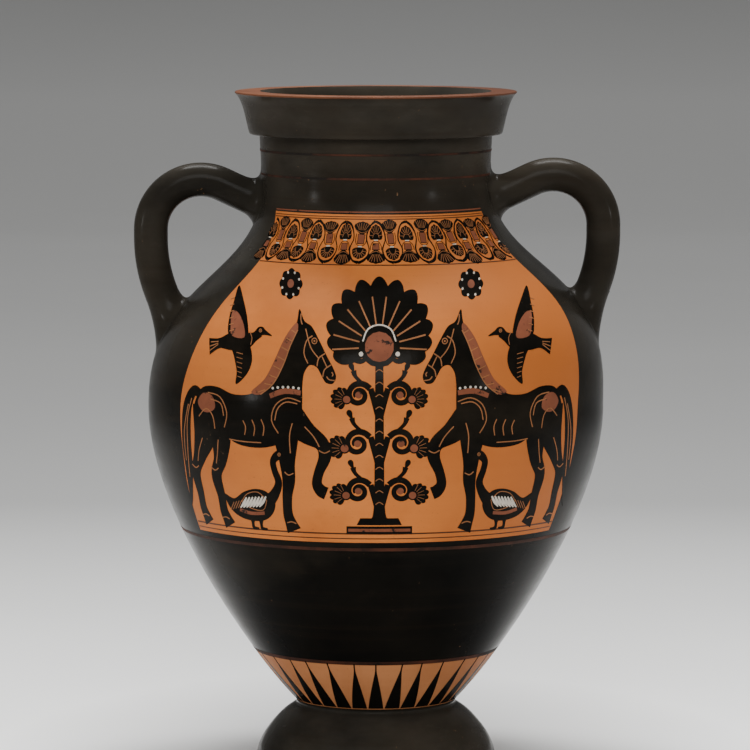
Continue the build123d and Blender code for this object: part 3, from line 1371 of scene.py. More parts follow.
class PalmetteTree:
    """Stylised tree of volutes and palmettes on a stepped base."""
    VOLUTES: tuple[Point, ...] = ((26.0, 7.6), (54.0, 8.0), (82.0, 7.4))

    def draw(self, pen: Pen) -> None:
        """Draw the tree, its foot at the pen's origin.

        Args:
            pen: the pen.
        """
        pen.fill(Pigment.BLACK, [(-19, 0), (19, 0), (19, 4.6), (-19, 4.6)])
        pen.fill(Pigment.BLACK, [(-13, 5.4), (13, 5.4), (11, 9.6), (-11, 9.6)])
        pen.line(Pigment.RED, [(-18, 2.3), (18, 2.3)], 1.8, 4)
        pen.stroke(Pigment.BLACK, [(0, 9, 11), (0, 16, 6.5), (0, 60, 5.2), (0, 104, 4.6)])
        for height in range(18, 100, 7):
            pen.line(Pigment.SCRATCH, [(-2.2, height), (0, height + 1.4), (2.2, height)], 0.45, 3)
        for side in (-1, 1):
            for height, size in self.VOLUTES:
                self.draw_branch(pen.mirrored((0, height), side), size)
            top = pen.mirrored((0, 106), side)
            top.spiral(Pigment.BLACK, (10.5, -1.0), (9.0, 1.6), (200, -280), (3.4, 2.2))
            top.dot(Pigment.WHITE, (10.5, -1.0), 1.3)
        pen.palmette((0, 109), 38.0, 13, 102.0)
        pen.line(Pigment.WHITE, [(-9.5, 112), (-6.6, 118.5), (0, 121), (6.6, 118.5), (9.5, 112)], 0.8)

    def draw_branch(self, pen: Pen, size: float) -> None:
        """Draw one volute that grows to the right of the stem, with its palmette.

        Args:
            pen: the pen.
            size: radius of the volute.
        """
        pen.stroke(Pigment.BLACK, [(0, -13, 4.4), (2.6, -4, 3.8), (5.0, 0.5 * size, 3.4)], 5)
        pen.spiral(Pigment.BLACK, (size + 4.5, 0.0), (size, 1.8), (150, -390), (3.6, 2.4))
        pen.dot(Pigment.RED, (size + 4.5, 0.0), 2.0)
        pen.palmette((2 * size + 4.0, -0.35 * size), 1.3 * size, 7, 62.0, 78.0)
        pen.stroke(Pigment.BLACK, [(size + 2, size - 1, 2.0), (1.3 * size + 4, 1.4 * size, 2.2),
                                   (1.6 * size + 3, 1.85 * size, 3.4)], 5)
        pen.petal(Pigment.BLACK, (1.55 * size + 3, 1.7 * size), 24.0, 0.8 * size, 0.42 * size)


class Horse:
    """Prancing horse in silhouette, facing right, with incised mane, harness and muscles."""
    BODY: tuple[Point, ...] = (
        (-31.5, 62), (-27, 66), (-18, 66.5), (-8, 63.8), (2, 64.5), (9, 69), (14.5, 78), (19.5, 89),
        (25, 96.5), (26.4, 103), (29.2, 98), (33, 95.6), (36.6, 90), (40.4, 83), (43.8, 77), (44.8, 73.4),
        (43.2, 70.6), (40, 71), (37.8, 74.4), (35.6, 77.8), (32.2, 78.6), (29.6, 75), (28.8, 69), (28.8, 62),
        (28, 53), (22, 44.5), (10, 40), (-4, 40.5), (-14, 45), (-21, 47), (-30, 49), (-34, 55))
    LEGS: tuple[Stroke, ...] = (
        ((20, 56, 17), (20.8, 44, 12), (21.4, 33, 7.6), (22.0, 25, 6.4), (21.2, 17, 4.9), (21.4, 9, 4.8),
         (23.0, 4, 5.8), (24.4, 0.6, 7.2)),
        ((23, 55, 14), (30.5, 48, 10.4), (38, 43, 7.0), (39.6, 37, 6.0), (36.8, 29.5, 4.6), (35.8, 24, 4.8),
         (37.8, 20.6, 5.8), (40.2, 19.4, 6.0)),
        ((-24, 56, 22), (-26, 44, 16), (-30.4, 33, 9.0), (-33.8, 25, 6.8), (-31.6, 15, 5.2), (-30.6, 8, 5.2),
         (-28.6, 3.6, 6.0), (-27, 0.6, 7.2)),
        ((-19, 54, 19), (-15.6, 43, 13), (-16, 33, 8.6), (-19, 25, 6.8), (-16.4, 15, 5.2), (-15.4, 8, 5.2),
         (-13.4, 3.6, 6.0), (-11.8, 0.6, 7.2)))
    TAIL: Stroke = (
        (-29, 62, 4.0), (-34.5, 63.4, 5.2), (-39.2, 56, 6.8), (-40.4, 42, 7.4), (-39.6, 27, 6.4),
        (-40.2, 13, 3.0), (-41.4, 7, 0.6))
    MANE: tuple[Point, ...] = ((2.5, 65.5), (9.5, 71.5), (14.4, 80), (19.6, 90.5), (25, 97), (26, 94),
                               (22.5, 87), (19, 78), (14, 69.5), (7.5, 64.5))
    RUMP: tuple[Point, ...] = ((-31, 59), (-27, 63.2), (-21, 62), (-19, 57), (-23, 54.4), (-28, 55))
    COLLAR: Stroke = ((28, 66, 2.2), (20, 66.6, 2.6), (12.5, 64, 2.2))
    MANE_CUTS: Cuts = (
        ((6, 65.5), (10, 66.8)), ((9.6, 69.6), (13.4, 69)), ((12, 73.6), (15.8, 72.4)),
        ((14, 77.8), (17.8, 76.2)), ((16, 82), (19.8, 80.4)), ((18, 86.2), (21.6, 84.6)),
        ((20.4, 90.2), (23.6, 88.8)), ((22.8, 93.8), (25.2, 92.6)))
    BODY_CUTS: Cuts = (
        ((7.5, 64.5), (14, 69.5), (19, 78), (22.5, 87), (26, 94)),
        ((31.4, 79.4), (29.4, 84), (30.6, 89.4), (33.4, 91.6)),
        ((39.6, 84), (36.6, 81.8), (35.8, 78.2)), ((42.4, 79), (39.4, 76.8), (38.6, 73.6)),
        ((38.2, 82.6), (40.6, 77.8)), ((36.6, 81.8), (32.6, 86.6), (30, 94.6)),
        ((44.2, 72), (41.6, 72.4), (40.4, 73.8)), ((42.8, 75.8), (43.4, 74.8), (43.0, 73.9)),
        ((27.4, 101), (27.4, 98.4), (28.2, 96.4)),
        ((26.4, 61), (20.8, 61.6), (16.6, 58.4), (15.2, 53)), ((24, 52), (22.6, 46), (23, 38)),
        ((-22, 60.6), (-15.4, 59), (-13.4, 53.4)), ((-27.6, 42), (-30.4, 36), (-31.6, 30.6)),
        ((-17, 42), (-17.6, 36), (-18.6, 30.6)), ((30, 50.6), (34.4, 46), (37, 41.4)),
        ((-10, 42.8), (-2, 42.2), (8, 42.2)),
        ((28, 62), (21.5, 63.5), (15.5, 60), (13.5, 53), (17, 47)),
        ((-13, 48), (-11.5, 55), (-16, 62), (-24, 63.5)),
        ((-30, 52), (-25, 56), (-20.5, 53), (-19, 47)),
        ((9, 45.5), (9.5, 49.5), (8, 53)), ((4, 45.2), (4.5, 49.2), (3, 52.6)),
        ((-1, 45.4), (-0.5, 49), (-2, 52)),
        ((-35.8, 60), (-39, 50), (-39.4, 36), (-39.4, 22)), ((-38.4, 57), (-41.8, 44), (-41.2, 30)),
        ((20, 29), (22, 27.6), (24.4, 28.6)), ((36.8, 39.8), (39.4, 38.6), (42, 39.8)),
        ((-36.4, 28.6), (-33.6, 27.2), (-31.2, 28.4)), ((-22.4, 28.6), (-19.6, 27.2), (-17.4, 28.4)),
        ((21, 4.4), (23.2, 5), (25.6, 4.2)), ((-31.6, 4), (-29, 4.6), (-26.6, 3.8)),
        ((-17, 4), (-14.4, 4.6), (-12, 3.8)))

    def draw(self, pen: Pen) -> None:
        """Draw the horse, the ground under it at the pen's origin.

        Args:
            pen: the pen.
        """
        pen.shape(Pigment.BLACK, self.BODY)
        for leg in self.LEGS:
            pen.stroke(Pigment.BLACK, leg, 5)
        pen.stroke(Pigment.BLACK, self.TAIL)
        pen.shape(Pigment.RED, self.MANE, 4)
        pen.lines(Pigment.SCRATCH, self.MANE_CUTS, 0.45, 3)
        pen.lines(Pigment.SCRATCH, self.BODY_CUTS, 0.5, 4)
        pen.eye((34.4, 89.4), 1.25)
        pen.stroke(Pigment.RED, self.COLLAR, 4)
        for index in range(6):
            pen.dot(Pigment.WHITE, (27 - 2.6 * index, 68.4 - 0.08 * (index - 2) ** 2), 0.6)
        pen.shape(Pigment.RED, self.RUMP, 4)


class Swan:
    """Long-necked water bird in silhouette, facing right, one wing folded."""
    BODY: tuple[Point, ...] = ((14, 12), (15.5, 19), (9, 25.5), (0, 27), (-10, 24.5), (-19, 19.5), (-28, 22),
                               (-23, 13), (-14, 7.5), (-2, 5.5), (8, 7))
    NECK: Stroke = (
        (8, 17, 11), (15, 24, 7.4), (18.5, 32, 5.4), (15.5, 40, 4.6), (14.5, 46, 4.8), (18.5, 50, 6.0),
        (22.5, 49, 4.2), (29, 46.5, 0.8))
    WING: Cuts = (((9, 20), (2, 25), (-7, 23.4), (-12, 18)), ((-12, 18), (-4, 14), (6, 13.4), (9, 20)))

    def draw(self, pen: Pen) -> None:
        """Draw the bird, the ground under it at the pen's origin.

        Args:
            pen: the pen.
        """
        pen.shape(Pigment.BLACK, self.BODY)
        pen.stroke(Pigment.BLACK, self.NECK)
        for toe in (-3.0, 4.0):
            path = [(toe, 8, 5), (toe, 4, 2.4), (toe + 0.8, 1.0, 2.4), (toe + 5, 0.7, 1.2)]
            pen.stroke(Pigment.BLACK, path, 4)
        for index in range(7):
            back = 2.7 * index
            feather = [(8.4 - back, 22.6 - 0.1 * back, 1.0), (6.0 - back, 18.6 - 0.1 * back, 2.0),
                       (3.0 - back, 15.4 - 0.1 * back, 0.8)]
            pen.stroke(Pigment.WHITE, feather, 4)
        for index in range(5):
            start = (-9.5 - 2.4 * index, 19.5 - 0.6 * index)
            pen.line(Pigment.SCRATCH, (start, (start[0] - 3.4, start[1] - 5.5)), 0.5, 3)
        pen.lines(Pigment.SCRATCH, self.WING, 0.5, 4)
        pen.eye((19.2, 50.4), 1.0)
        pen.line(Pigment.RED, ((-14, 12.4), (-4, 10.6), (7, 11.4)), 2.2, 4)


class Crane:
    """Tall water bird in silhouette, facing right, with incised feathers."""
    BODY: tuple[Point, ...] = ((15, 53), (13.5, 60), (7, 64), (-3, 63.5), (-14, 57), (-24, 49), (-33, 42),
                               (-27, 41.5), (-19, 42), (-10, 41), (1, 41.5), (10, 46))
    NECK: Stroke = (
        (7, 55, 15), (14, 62, 9), (17.5, 71, 6), (14, 81, 4.8), (9.5, 89, 4.2), (11.5, 97, 4.4),
        (17, 100.5, 6.4), (22, 99, 4.6), (29, 96.5, 1.8), (37, 93.5, 0.6))
    LEGS: tuple[Stroke, ...] = (
        ((0, 44, 8), (-1, 36, 3.4), (-2.5, 28, 2.4), (-4, 21, 2.8), (-2.2, 11, 2.0), (-1.6, 1.2, 2.0)),
        ((5, 45, 8), (7, 36, 3.4), (8, 28, 2.4), (6.5, 21, 2.8), (8.5, 11, 2.0), (9.4, 1.2, 2.0)))
    RED_WING: tuple[Point, ...] = ((10, 57), (4, 61), (-4, 60), (-10, 55), (-3, 52.5), (6, 52))
    CUTS: Cuts = (
        ((11, 57.5), (4, 62), (-5, 60.8), (-11, 55)), ((-11, 55), (-3, 51.6), (6, 51), (11, 57.5)),
        ((-6, 46), (-15, 45.5), (-26, 43.6)), ((-5, 49.4), (-14, 48.6), (-23, 46)),
        ((20, 97.2), (27, 96), (34, 94.2)))

    def draw(self, pen: Pen) -> None:
        """Draw the bird, the ground under it at the pen's origin.

        Args:
            pen: the pen.
        """
        pen.shape(Pigment.BLACK, self.BODY)
        pen.stroke(Pigment.BLACK, self.NECK)
        for leg in self.LEGS:
            pen.stroke(Pigment.BLACK, leg, 5)
            toe = leg[-1][0]
            for reach in (9.0, -5.0):
                path = [(toe, 2.0, 1.8), (toe + reach / 2, 1.4, 1.8), (toe + reach, 0.8, 0.8)]
                pen.stroke(Pigment.BLACK, path, 4)
        for rise in (0.0, 3.0):
            pen.stroke(Pigment.BLACK, [(14, 101.5, 1.8), (8, 103 + rise, 1.4), (2, 100 + rise, 0.5)], 4)
        pen.shape(Pigment.RED, self.RED_WING, 4)
        for index in range(7):
            start = (-8 - 2.2 * index, 55.5 - 1.7 * index)
            pen.line(Pigment.SCRATCH, (start, (start[0] - 5, start[1] - 6.5 + 0.4 * index)), 0.45, 3)
        pen.lines(Pigment.SCRATCH, self.CUTS, 0.5, 4)
        pen.eye((18, 101), 1.1)
        for index in range(8):
            pen.dot(Pigment.WHITE, (9 - 2.4 * index, 58.6 - 0.16 * (index - 2.5) ** 2), 0.6)


class FlyingBird:
    """Bird in flight, facing right, wings raised."""
    BODY: Stroke = ((-24, -4, 10), (-15, -1.5, 6), (-6, 0, 10), (6, 1, 10), (13, 4, 5.5), (17, 7, 6),
                    (20, 6.6, 3), (25, 5, 0.6))
    WINGS: Cuts = (((7, 2), (6, 13), (0, 24), (-8, 32), (-9, 23), (-10, 12), (-7, 3)),
                   ((8, 0), (12, -9), (9, -18), (1, -25), (1, -17), (-2, -8), (-5, -1)))
    RED_WING: tuple[Point, ...] = ((5, 3), (3, 11), (-3, 17), (-8, 17), (-7.5, 10), (-5, 3.5))
    CUTS: Cuts = (((-23, -6.5), (-16, -2.4)), ((-23.5, -4), (-16, -1.6)), ((-23, -1.4), (-16, -0.6)),
                  ((9, 6.5), (11, 3), (10.4, -1)))

    def draw(self, pen: Pen) -> None:
        """Draw the bird round the pen's origin.

        Args:
            pen: the pen.
        """
        pen.stroke(Pigment.BLACK, self.BODY)
        for wing in self.WINGS:
            pen.shape(Pigment.BLACK, wing, 5)
        pen.shape(Pigment.RED, self.RED_WING, 4)
        for index in range(6):
            share = index / 5
            start = (blend(-4, -9, share), blend(7, 25, share))
            pen.line(Pigment.SCRATCH, (start, (start[0] - 3.6, start[1] - 1)), 0.4, 3)
            low = (blend(0, 2, share), blend(-6, -20, share))
            pen.line(Pigment.SCRATCH, (low, (low[0] + 5 - share * 2, low[1] - 0.8)), 0.4, 3)
        pen.lines(Pigment.SCRATCH, self.CUTS, 0.45, 3)
        pen.eye((16.8, 7.6), 0.9)


class Rosette:
    """Round flower of petals about a red eye."""

    def draw(self, pen: Pen) -> None:
        """Draw the flower round the pen's origin.

        Args:
            pen: the pen.
        """
        for index in range(8):
            pen.petal(Pigment.BLACK, (0, 0), 45.0 * index, 7.2, 4.4)
        pen.dot(Pigment.BLACK, (0, 0), 2.9)
        pen.dot(Pigment.RED, (0, 0), 2.0)
        for index in range(8):
            angle = math.radians(45 * index + 22.5)
            pen.dot(Pigment.WHITE, (5.4 * math.sin(angle), 5.4 * math.cos(angle)), 0.55)


def both_sides(middle: Point, half: Sequence[Point]) -> tuple[Point, ...]:
    """Row of points from the mirrored left end over the middle to the right end."""
    return (*((-across, height) for across, height in reversed(half)), middle, *half)


@dataclass
class Frieze:
    """Chain of palmettes and lotus flowers, upright and hanging in turn, along a swelling strand.

    Attributes:
        base: height of its base line in millimetres.
        top: height of its top line.
        half_pitch: distance between an upright and a hanging flower.
        turn: angle round the wall for each millimetre of the drawing.
        first, last: numbers of the outer half units, counted from the middle.
    """
    base: float = 307.4
    top: float = 333.0
    half_pitch: float = 9.0
    turn: float = math.radians(13.7 / 18.0)
    first: int = -8
    last: int = 9
    STRAND: ClassVar[Stroke] = (
        (0.0, 11.5, 1.45), (3.0, 9.9, 1.2), (4.9, 6.2, 0.88), (5.3, 2.6, 0.74), (4.5, 0.0, 0.72),
        (3.7, -2.6, 0.74), (4.1, -6.2, 0.88), (6.0, -9.9, 1.2), (9.0, -11.5, 1.45))
    STRAND_END: ClassVar[float] = 11.5
    STRAND_DROP: ClassVar[float] = 1.1
    FAN: ClassVar[tuple[Point, ...]] = both_sides(
        (0, 1.05), ((18, 0.97), (36, 1.02), (52, 0.95), (66, 1.0), (80, 0.93), (92, 1.0), (112, 0.84)))
    FAN_WIDTH: ClassVar[float] = 3.9
    FAN_TOP: ClassVar[float] = 9.4
    FAN_CUTS: ClassVar[tuple[int, ...]] = (-86, -59, -34, -11, 11, 34, 59, 86)
    HEART_RISE: ClassVar[float] = 2.4
    ARCH: ClassVar[tuple[Point, ...]] = both_sides((0, 3.9), ((1.2, 3.3), (1.9, 1.4)))
    LOTUS: ClassVar[tuple[Point, ...]] = both_sides(
        (0, -12.4), ((1.3, -11.9), (2.4, -11.8), (3.3, -11.2), (4.4, -10.6), (4.9, -9.2), (3.6, -7.0),
                     (0.9, -4.7)))
    LOTUS_CUTS: ClassVar[tuple[float, ...]] = (-3.7, -2.3, -0.8, 0.8, 2.3, 3.7)
    UPRIGHT_WAIST: ClassVar[float] = 0.6
    HANGING_WAIST: ClassVar[float] = 2.6
    CUT: ClassVar[float] = 0.26

    def draw(self, canvas: Canvas) -> None:
        """Draw the chain on a canvas in millimetres across.

        Args:
            canvas: the canvas.
        """
        middle = (self.base + self.top) / 2
        for number in range(self.first, self.last + 1):
            hangs = number % 2 == 1
            flip = -1.0 if hangs else 1.0
            swell = 1.0 + unsteady(0.06, 3.9, number)
            spot = (number * self.half_pitch + unsteady(0.45, 5.1, number),
                    middle + unsteady(0.3, 2.7, number, 1.0))
            pen = Pen(canvas, spot, (flip * swell, flip * (2.0 - swell)), unsteady(4.0, 1.7, number))
            self.draw_column(pen, self.HANGING_WAIST if hangs else self.UPRIGHT_WAIST)
            if number < self.last:
                pen = Pen(canvas, (number * self.half_pitch, middle), (1.0, flip))
                strand = [self.strand_point(number, flip, *point) for point in self.STRAND]
                pen.stroke(Pigment.BLACK, strand, 5)

    def strand_point(self, number: int, flip: float, across: float, rise: float, width: float) -> Triple:
        """Point of the strand as the hand draws it.

        Args:
            number: number of the half unit.
            flip: 1 where the strand starts at the top, -1 where it starts at the bottom.
            across: place along the chain.
            rise: height over the middle.
            width: width of the brush.

        Returns:
            The point with its width, a little uneven.
        """
        drop = flip * self.STRAND_DROP * (1.0 - (rise / self.STRAND_END) ** 2)
        return (across, rise - drop + unsteady(0.25, 4.3, number, across),
                width * (1.0 + unsteady(0.25, 6.1, number, 0.8 * across)))

    def fan_point(self, waist: float, turn: float, reach: float) -> Point:
        """Point of the fan over a waist.

        Args:
            waist: height of the waist.
            turn: direction in degrees.
            reach: share of the fan's reach.

        Returns:
            The point.
        """
        angle = math.radians(turn)
        heart = waist + self.HEART_RISE
        return (self.FAN_WIDTH * math.sin(angle) * reach,
                heart + (self.FAN_TOP - heart) * math.cos(angle) * reach)

    def draw_column(self, pen: Pen, waist: float) -> None:
        """Draw a palmette over a lotus, both on the column through the pen's origin.

        Args:
            pen: the pen at the column's middle.
            waist: height where the palmette ends and the lotus starts.
        """
        fan = [self.fan_point(waist, *spot) for spot in self.FAN]
        pen.shape(Pigment.BLACK, [(-1.1, waist + 0.4)] + fan + [(1.1, waist + 0.4)], 3)
        for turn in self.FAN_CUTS:
            ends = [self.fan_point(waist, turn, reach) for reach in (0.34, 0.92)]
            pen.line(Pigment.SCRATCH, ends, self.CUT, 2)
        pen.line(Pigment.SCRATCH, [(across, waist + rise) for across, rise in self.ARCH], self.CUT, 3)
        pen.line(Pigment.WHITE, [(-1.1, waist), (1.1, waist)], 0.55, 2)
        pen.line(Pigment.BLACK, [(-2.9, -4.9), (-2.9, waist - 3.3), (-1.9, waist - 1.2), (0, waist - 0.4),
                                 (1.9, waist - 1.2), (2.9, waist - 3.3), (2.9, -4.9)], 0.36, 4)
        pen.fill(Pigment.BLACK, [(-2.1, -4.8), (2.1, -4.8), (1.8, waist - 1.6), (-1.8, waist - 1.6)])
        pen.fill(Pigment.RED, [(-1.8, -4.5), (1.8, -4.5), (1.5, waist - 1.9), (-1.5, waist - 1.9)])
        pen.fill(Pigment.BLACK, self.LOTUS)
        for tip in self.LOTUS_CUTS:
            pen.line(Pigment.SCRATCH, [(0.45 * tip, -7.2), (tip, -11.4 + 0.12 * abs(tip))], self.CUT, 2)
        pen.line(Pigment.SCRATCH, [(-3.3, -7.0), (0, -5.5), (3.3, -7.0)], self.CUT, 3)


@dataclass(frozen=True)
class Pair:
    """Two like motifs of a picture, left and right of its middle.

    Attributes:
        motif: class of the motif.
        across: distance from the middle in millimetres.
        rise: height over the ground line.
        scale: size across and upwards, the size across negative where the right one faces the middle.
        mirrored: whether the left one mirrors the right one.
    """
    motif: type
    across: float
    rise: float
    scale: Point
    mirrored: bool = True


@dataclass
class Panel:
    """Reserved clay panel with its frieze, ground lines and picture.

    Attributes:
        palette: the finishes.
        facing: the side it is on.
        ground: height of the line that the figures stand on, in millimetres.
        second_line: height of the line under it.
        line_inset: how far its lines stay off its edges, in degrees.
        EDGES: angle in degrees and height in millimetres down its left and its right edge.
        MIDDLES: place of the picture's middle in millimetres.
        PAIRS: motifs of the picture.
    """
    palette: Palette
    facing: Facing
    ground: float = 154.4
    second_line: float = 151.4
    line_inset: float = 0.4
    line_steps: int = 16
    edge_steps: int = 8
    cell: Point = (1.7, 4.0)
    EDGES: ClassVar[dict[Facing, Cuts]] = {
        Facing.FRONT: (
            ((-57.3, 335.8), (-54.5, 322), (-52.4, 310), (-54.0, 286), (-55.0, 258), (-56.9, 228),
             (-57.0, 198), (-58.6, 175), (-60.2, 148.9)),
            ((60.7, 335.4), (62.2, 322), (63.3, 309), (64.6, 284), (62.6, 258), (60.4, 227), (59.4, 198),
             (58.9, 175), (58.7, 148.9))),
        Facing.BACK: (
            ((-60.5, 335.6), (-61.4, 310), (-60.6, 284), (-60.0, 228), (-60.8, 175), (-60.2, 148.9)),
            ((60.0, 335.6), (61.0, 310), (61.2, 284), (60.3, 228), (59.6, 175), (60.4, 148.9)))}
    MIDDLES: ClassVar[dict[Facing, float]] = {Facing.FRONT: 2.0, Facing.BACK: 0.0}
    PAIRS: ClassVar[dict[Facing, tuple[Pair, ...]]] = {
        Facing.FRONT: (
            Pair(Horse, 81.0, 0.0, (-1.25, 1.25)), Pair(FlyingBird, 90.0, 109.0, (-0.98, 0.94)),
            Pair(Rosette, 55.0, 142.0, (1.15, 1.15), False), Pair(Swan, 75.5, 0.0, (-0.84, 0.92))),
        Facing.BACK: (
            Pair(Crane, 66.0, 0.0, (-1.25, 1.25)), Pair(Crane, 112.0, 0.0, (0.9, 0.95)),
            Pair(Rosette, 42.0, 143.0, (1.05, 1.05), False), Pair(Rosette, 92.0, 128.0, (1.15, 1.15), False))}

    def build(self) -> None:
        """Paint the panel."""
        name = f"{self.facing.name.lower()}_panel"
        middle = math.radians(self.facing.value)
        self.build_ground(name, middle)
        frieze, picture = Canvas(), Canvas()
        Frieze().draw(frieze)
        frieze.build(f"{name}_frieze", self.palette, Wrap(middle, Frieze.turn), FINE_CELL)
        self.draw_picture(picture)
        picture.build(f"{name}_picture", self.palette, Wrap(middle))

    def edge_at(self, edge: tuple[Point, ...], height: float) -> float:
        """Angle of an edge at a height.

        Args:
            edge: points down the edge.
            height: the height in millimetres.

        Returns:
            The angle in degrees.
        """
        for (angle_a, height_a), (angle_b, height_b) in zip(edge, edge[1:]):
            if height_b <= height <= height_a:
                return blend(angle_a, angle_b, (height_a - height) / (height_a - height_b))
        return edge[0][0] if height > edge[0][1] else edge[-1][0]

    def build_ground(self, name: str, middle: float) -> None:
        """Lay the clay ground and its framing lines, drawn in degrees across.

        Args:
            name: start of the pieces' names.
            middle: angle of the panel's middle.
        """
        ground = Canvas()
        edges = self.EDGES[self.facing]
        left, right = (curve_through(edge, self.edge_steps) for edge in edges)
        Pen(ground).fill(Pigment.CLAY, left + right[::-1])
        lines = ((337.0, 0.7, Pigment.RED), (334.3, 0.5, Pigment.BROWN), (Frieze.top, 0.6, Pigment.BROWN),
                 (Frieze.base, 0.6, Pigment.BROWN), (self.ground, 0.9, Pigment.BROWN),
                 (self.second_line, 0.6, Pigment.BROWN))
        for height, width, pigment in lines:
            start, end = (self.edge_at(edge, height) for edge in edges)
            start, end = start + self.line_inset, end - self.line_inset
            places = [blend(start, end, step / self.line_steps) for step in range(self.line_steps + 1)]
            lower, upper = ([(place, height + half) for place in places] for half in (-width / 2, width / 2))
            ground.drawings[pigment].ribbons.append((lower, upper))
        ground.build(f"{name}_ground", self.palette, Wrap(middle, DEGREE), self.cell)

    def draw_picture(self, picture: Canvas) -> None:
        """Draw pairs of animals and flowers about a palmette tree.

        Args:
            picture: the canvas.
        """
        middle = self.MIDDLES[self.facing]
        PalmetteTree().draw(Pen(picture, (middle, self.ground)))
        for side in (-1, 1):
            for pair in self.PAIRS[self.facing]:
                spot = (middle + side * pair.across, self.ground + pair.rise)
                flip = side if pair.mirrored else 1
                pair.motif().draw(Pen(picture, spot, (flip * pair.scale[0], pair.scale[1])))


@dataclass
class WallBand:
    """Coat painted right round the wall between two heights.

    Attributes:
        name: name of the piece.
        heights: heights of its points in millimetres, from the bottom up.
        lift: how far it stands off the wall in millimetres.
        thickness: its thickness in millimetres, most of it sunk in the wall.
    """
    name: str
    heights: Sequence[float]
    lift: float
    thickness: float = 0.6

    def build(self, finish: Material) -> None:
        """Spin the band.

        Args:
            finish: its material.
        """
        outer = [(WALL.plain_radius(height * MM) + self.lift * MM, height * MM) for height in self.heights]
        inner = [(radius - self.thickness * MM, height) for radius, height in outer]
        SpunSection(self.name, outer + inner[::-1]).build(finish, finish, nodes=())


@dataclass
class BaseRays:
    """Ring of tapering black rays on a reserved band just over the foot, under a red line.

    Attributes:
        bottom, top: heights of the band's edges in millimetres.
        line_width: least width of a ray, at its tip.
        margins: how far a ray starts over the band's lower edge and ends over its upper edge.
        fullness: half width of a ray at its foot, as a share of the distance between rays.
        sharpness: how hollow its sides are.
        gap_deg: clay left free on each side, in degrees.
        lean: how far a tip leans at most, as a share of the distance between rays.
    """
    palette: Palette
    bottom: float = 39.6
    top: float = 70.5
    count: int = 32
    line_width: float = 0.85
    margins: Point = (0.7, 0.2)
    fullness: float = 0.49
    sharpness: float = 1.18
    gap_deg: float = 0.3
    lean: float = 0.105
    ray_steps: int = 14
    band_steps: int = 16
    top_line: Triple = (-0.5, 0.6, 1.7)

    def build(self) -> None:
        """Paint the band, its rays and the line over it."""
        heights = [blend(self.bottom, self.top, step / self.band_steps)
                   for step in range(self.band_steps + 1)]
        WallBand("ray_band", heights, 0.06).build(self.palette.ray_clay)
        line_heights = [self.top + rise for rise in self.top_line]
        WallBand("ray_top_line", line_heights, 0.12).build(self.palette.dull_red)
        pitch = 360.0 / self.count
        rays = Drawing([self.ray(number * pitch, pitch) for number in range(self.count)])
        rays.build("rays", self.palette.paint_black, COATS[Pigment.BLACK], Wrap(0.0, DEGREE), FINE_CELL)

    def ray(self, centre: float, pitch: float) -> Outline:
        """Outline of one ray in degrees and millimetres, a little uneven as by hand.

        Args:
            centre: angle of its foot.
            pitch: distance between rays.

        Returns:
            The outline.
        """
        lean = unsteady(self.lean * pitch, 2.4, centre)
        left, right = [], []
        for step in range(self.ray_steps + 1):
            share = step / self.ray_steps
            height = blend(self.bottom + self.margins[0], self.top + self.margins[1], share)
            thin = math.degrees(self.line_width * MM / 2 / WALL.plain_radius(height * MM))
            half = max(self.fullness * pitch * (1.0 - share) ** self.sharpness - self.gap_deg, thin)
            left.append((centre + lean * share - half, height))
            right.append((centre + lean * share + half, height))
        return left + right[::-1]


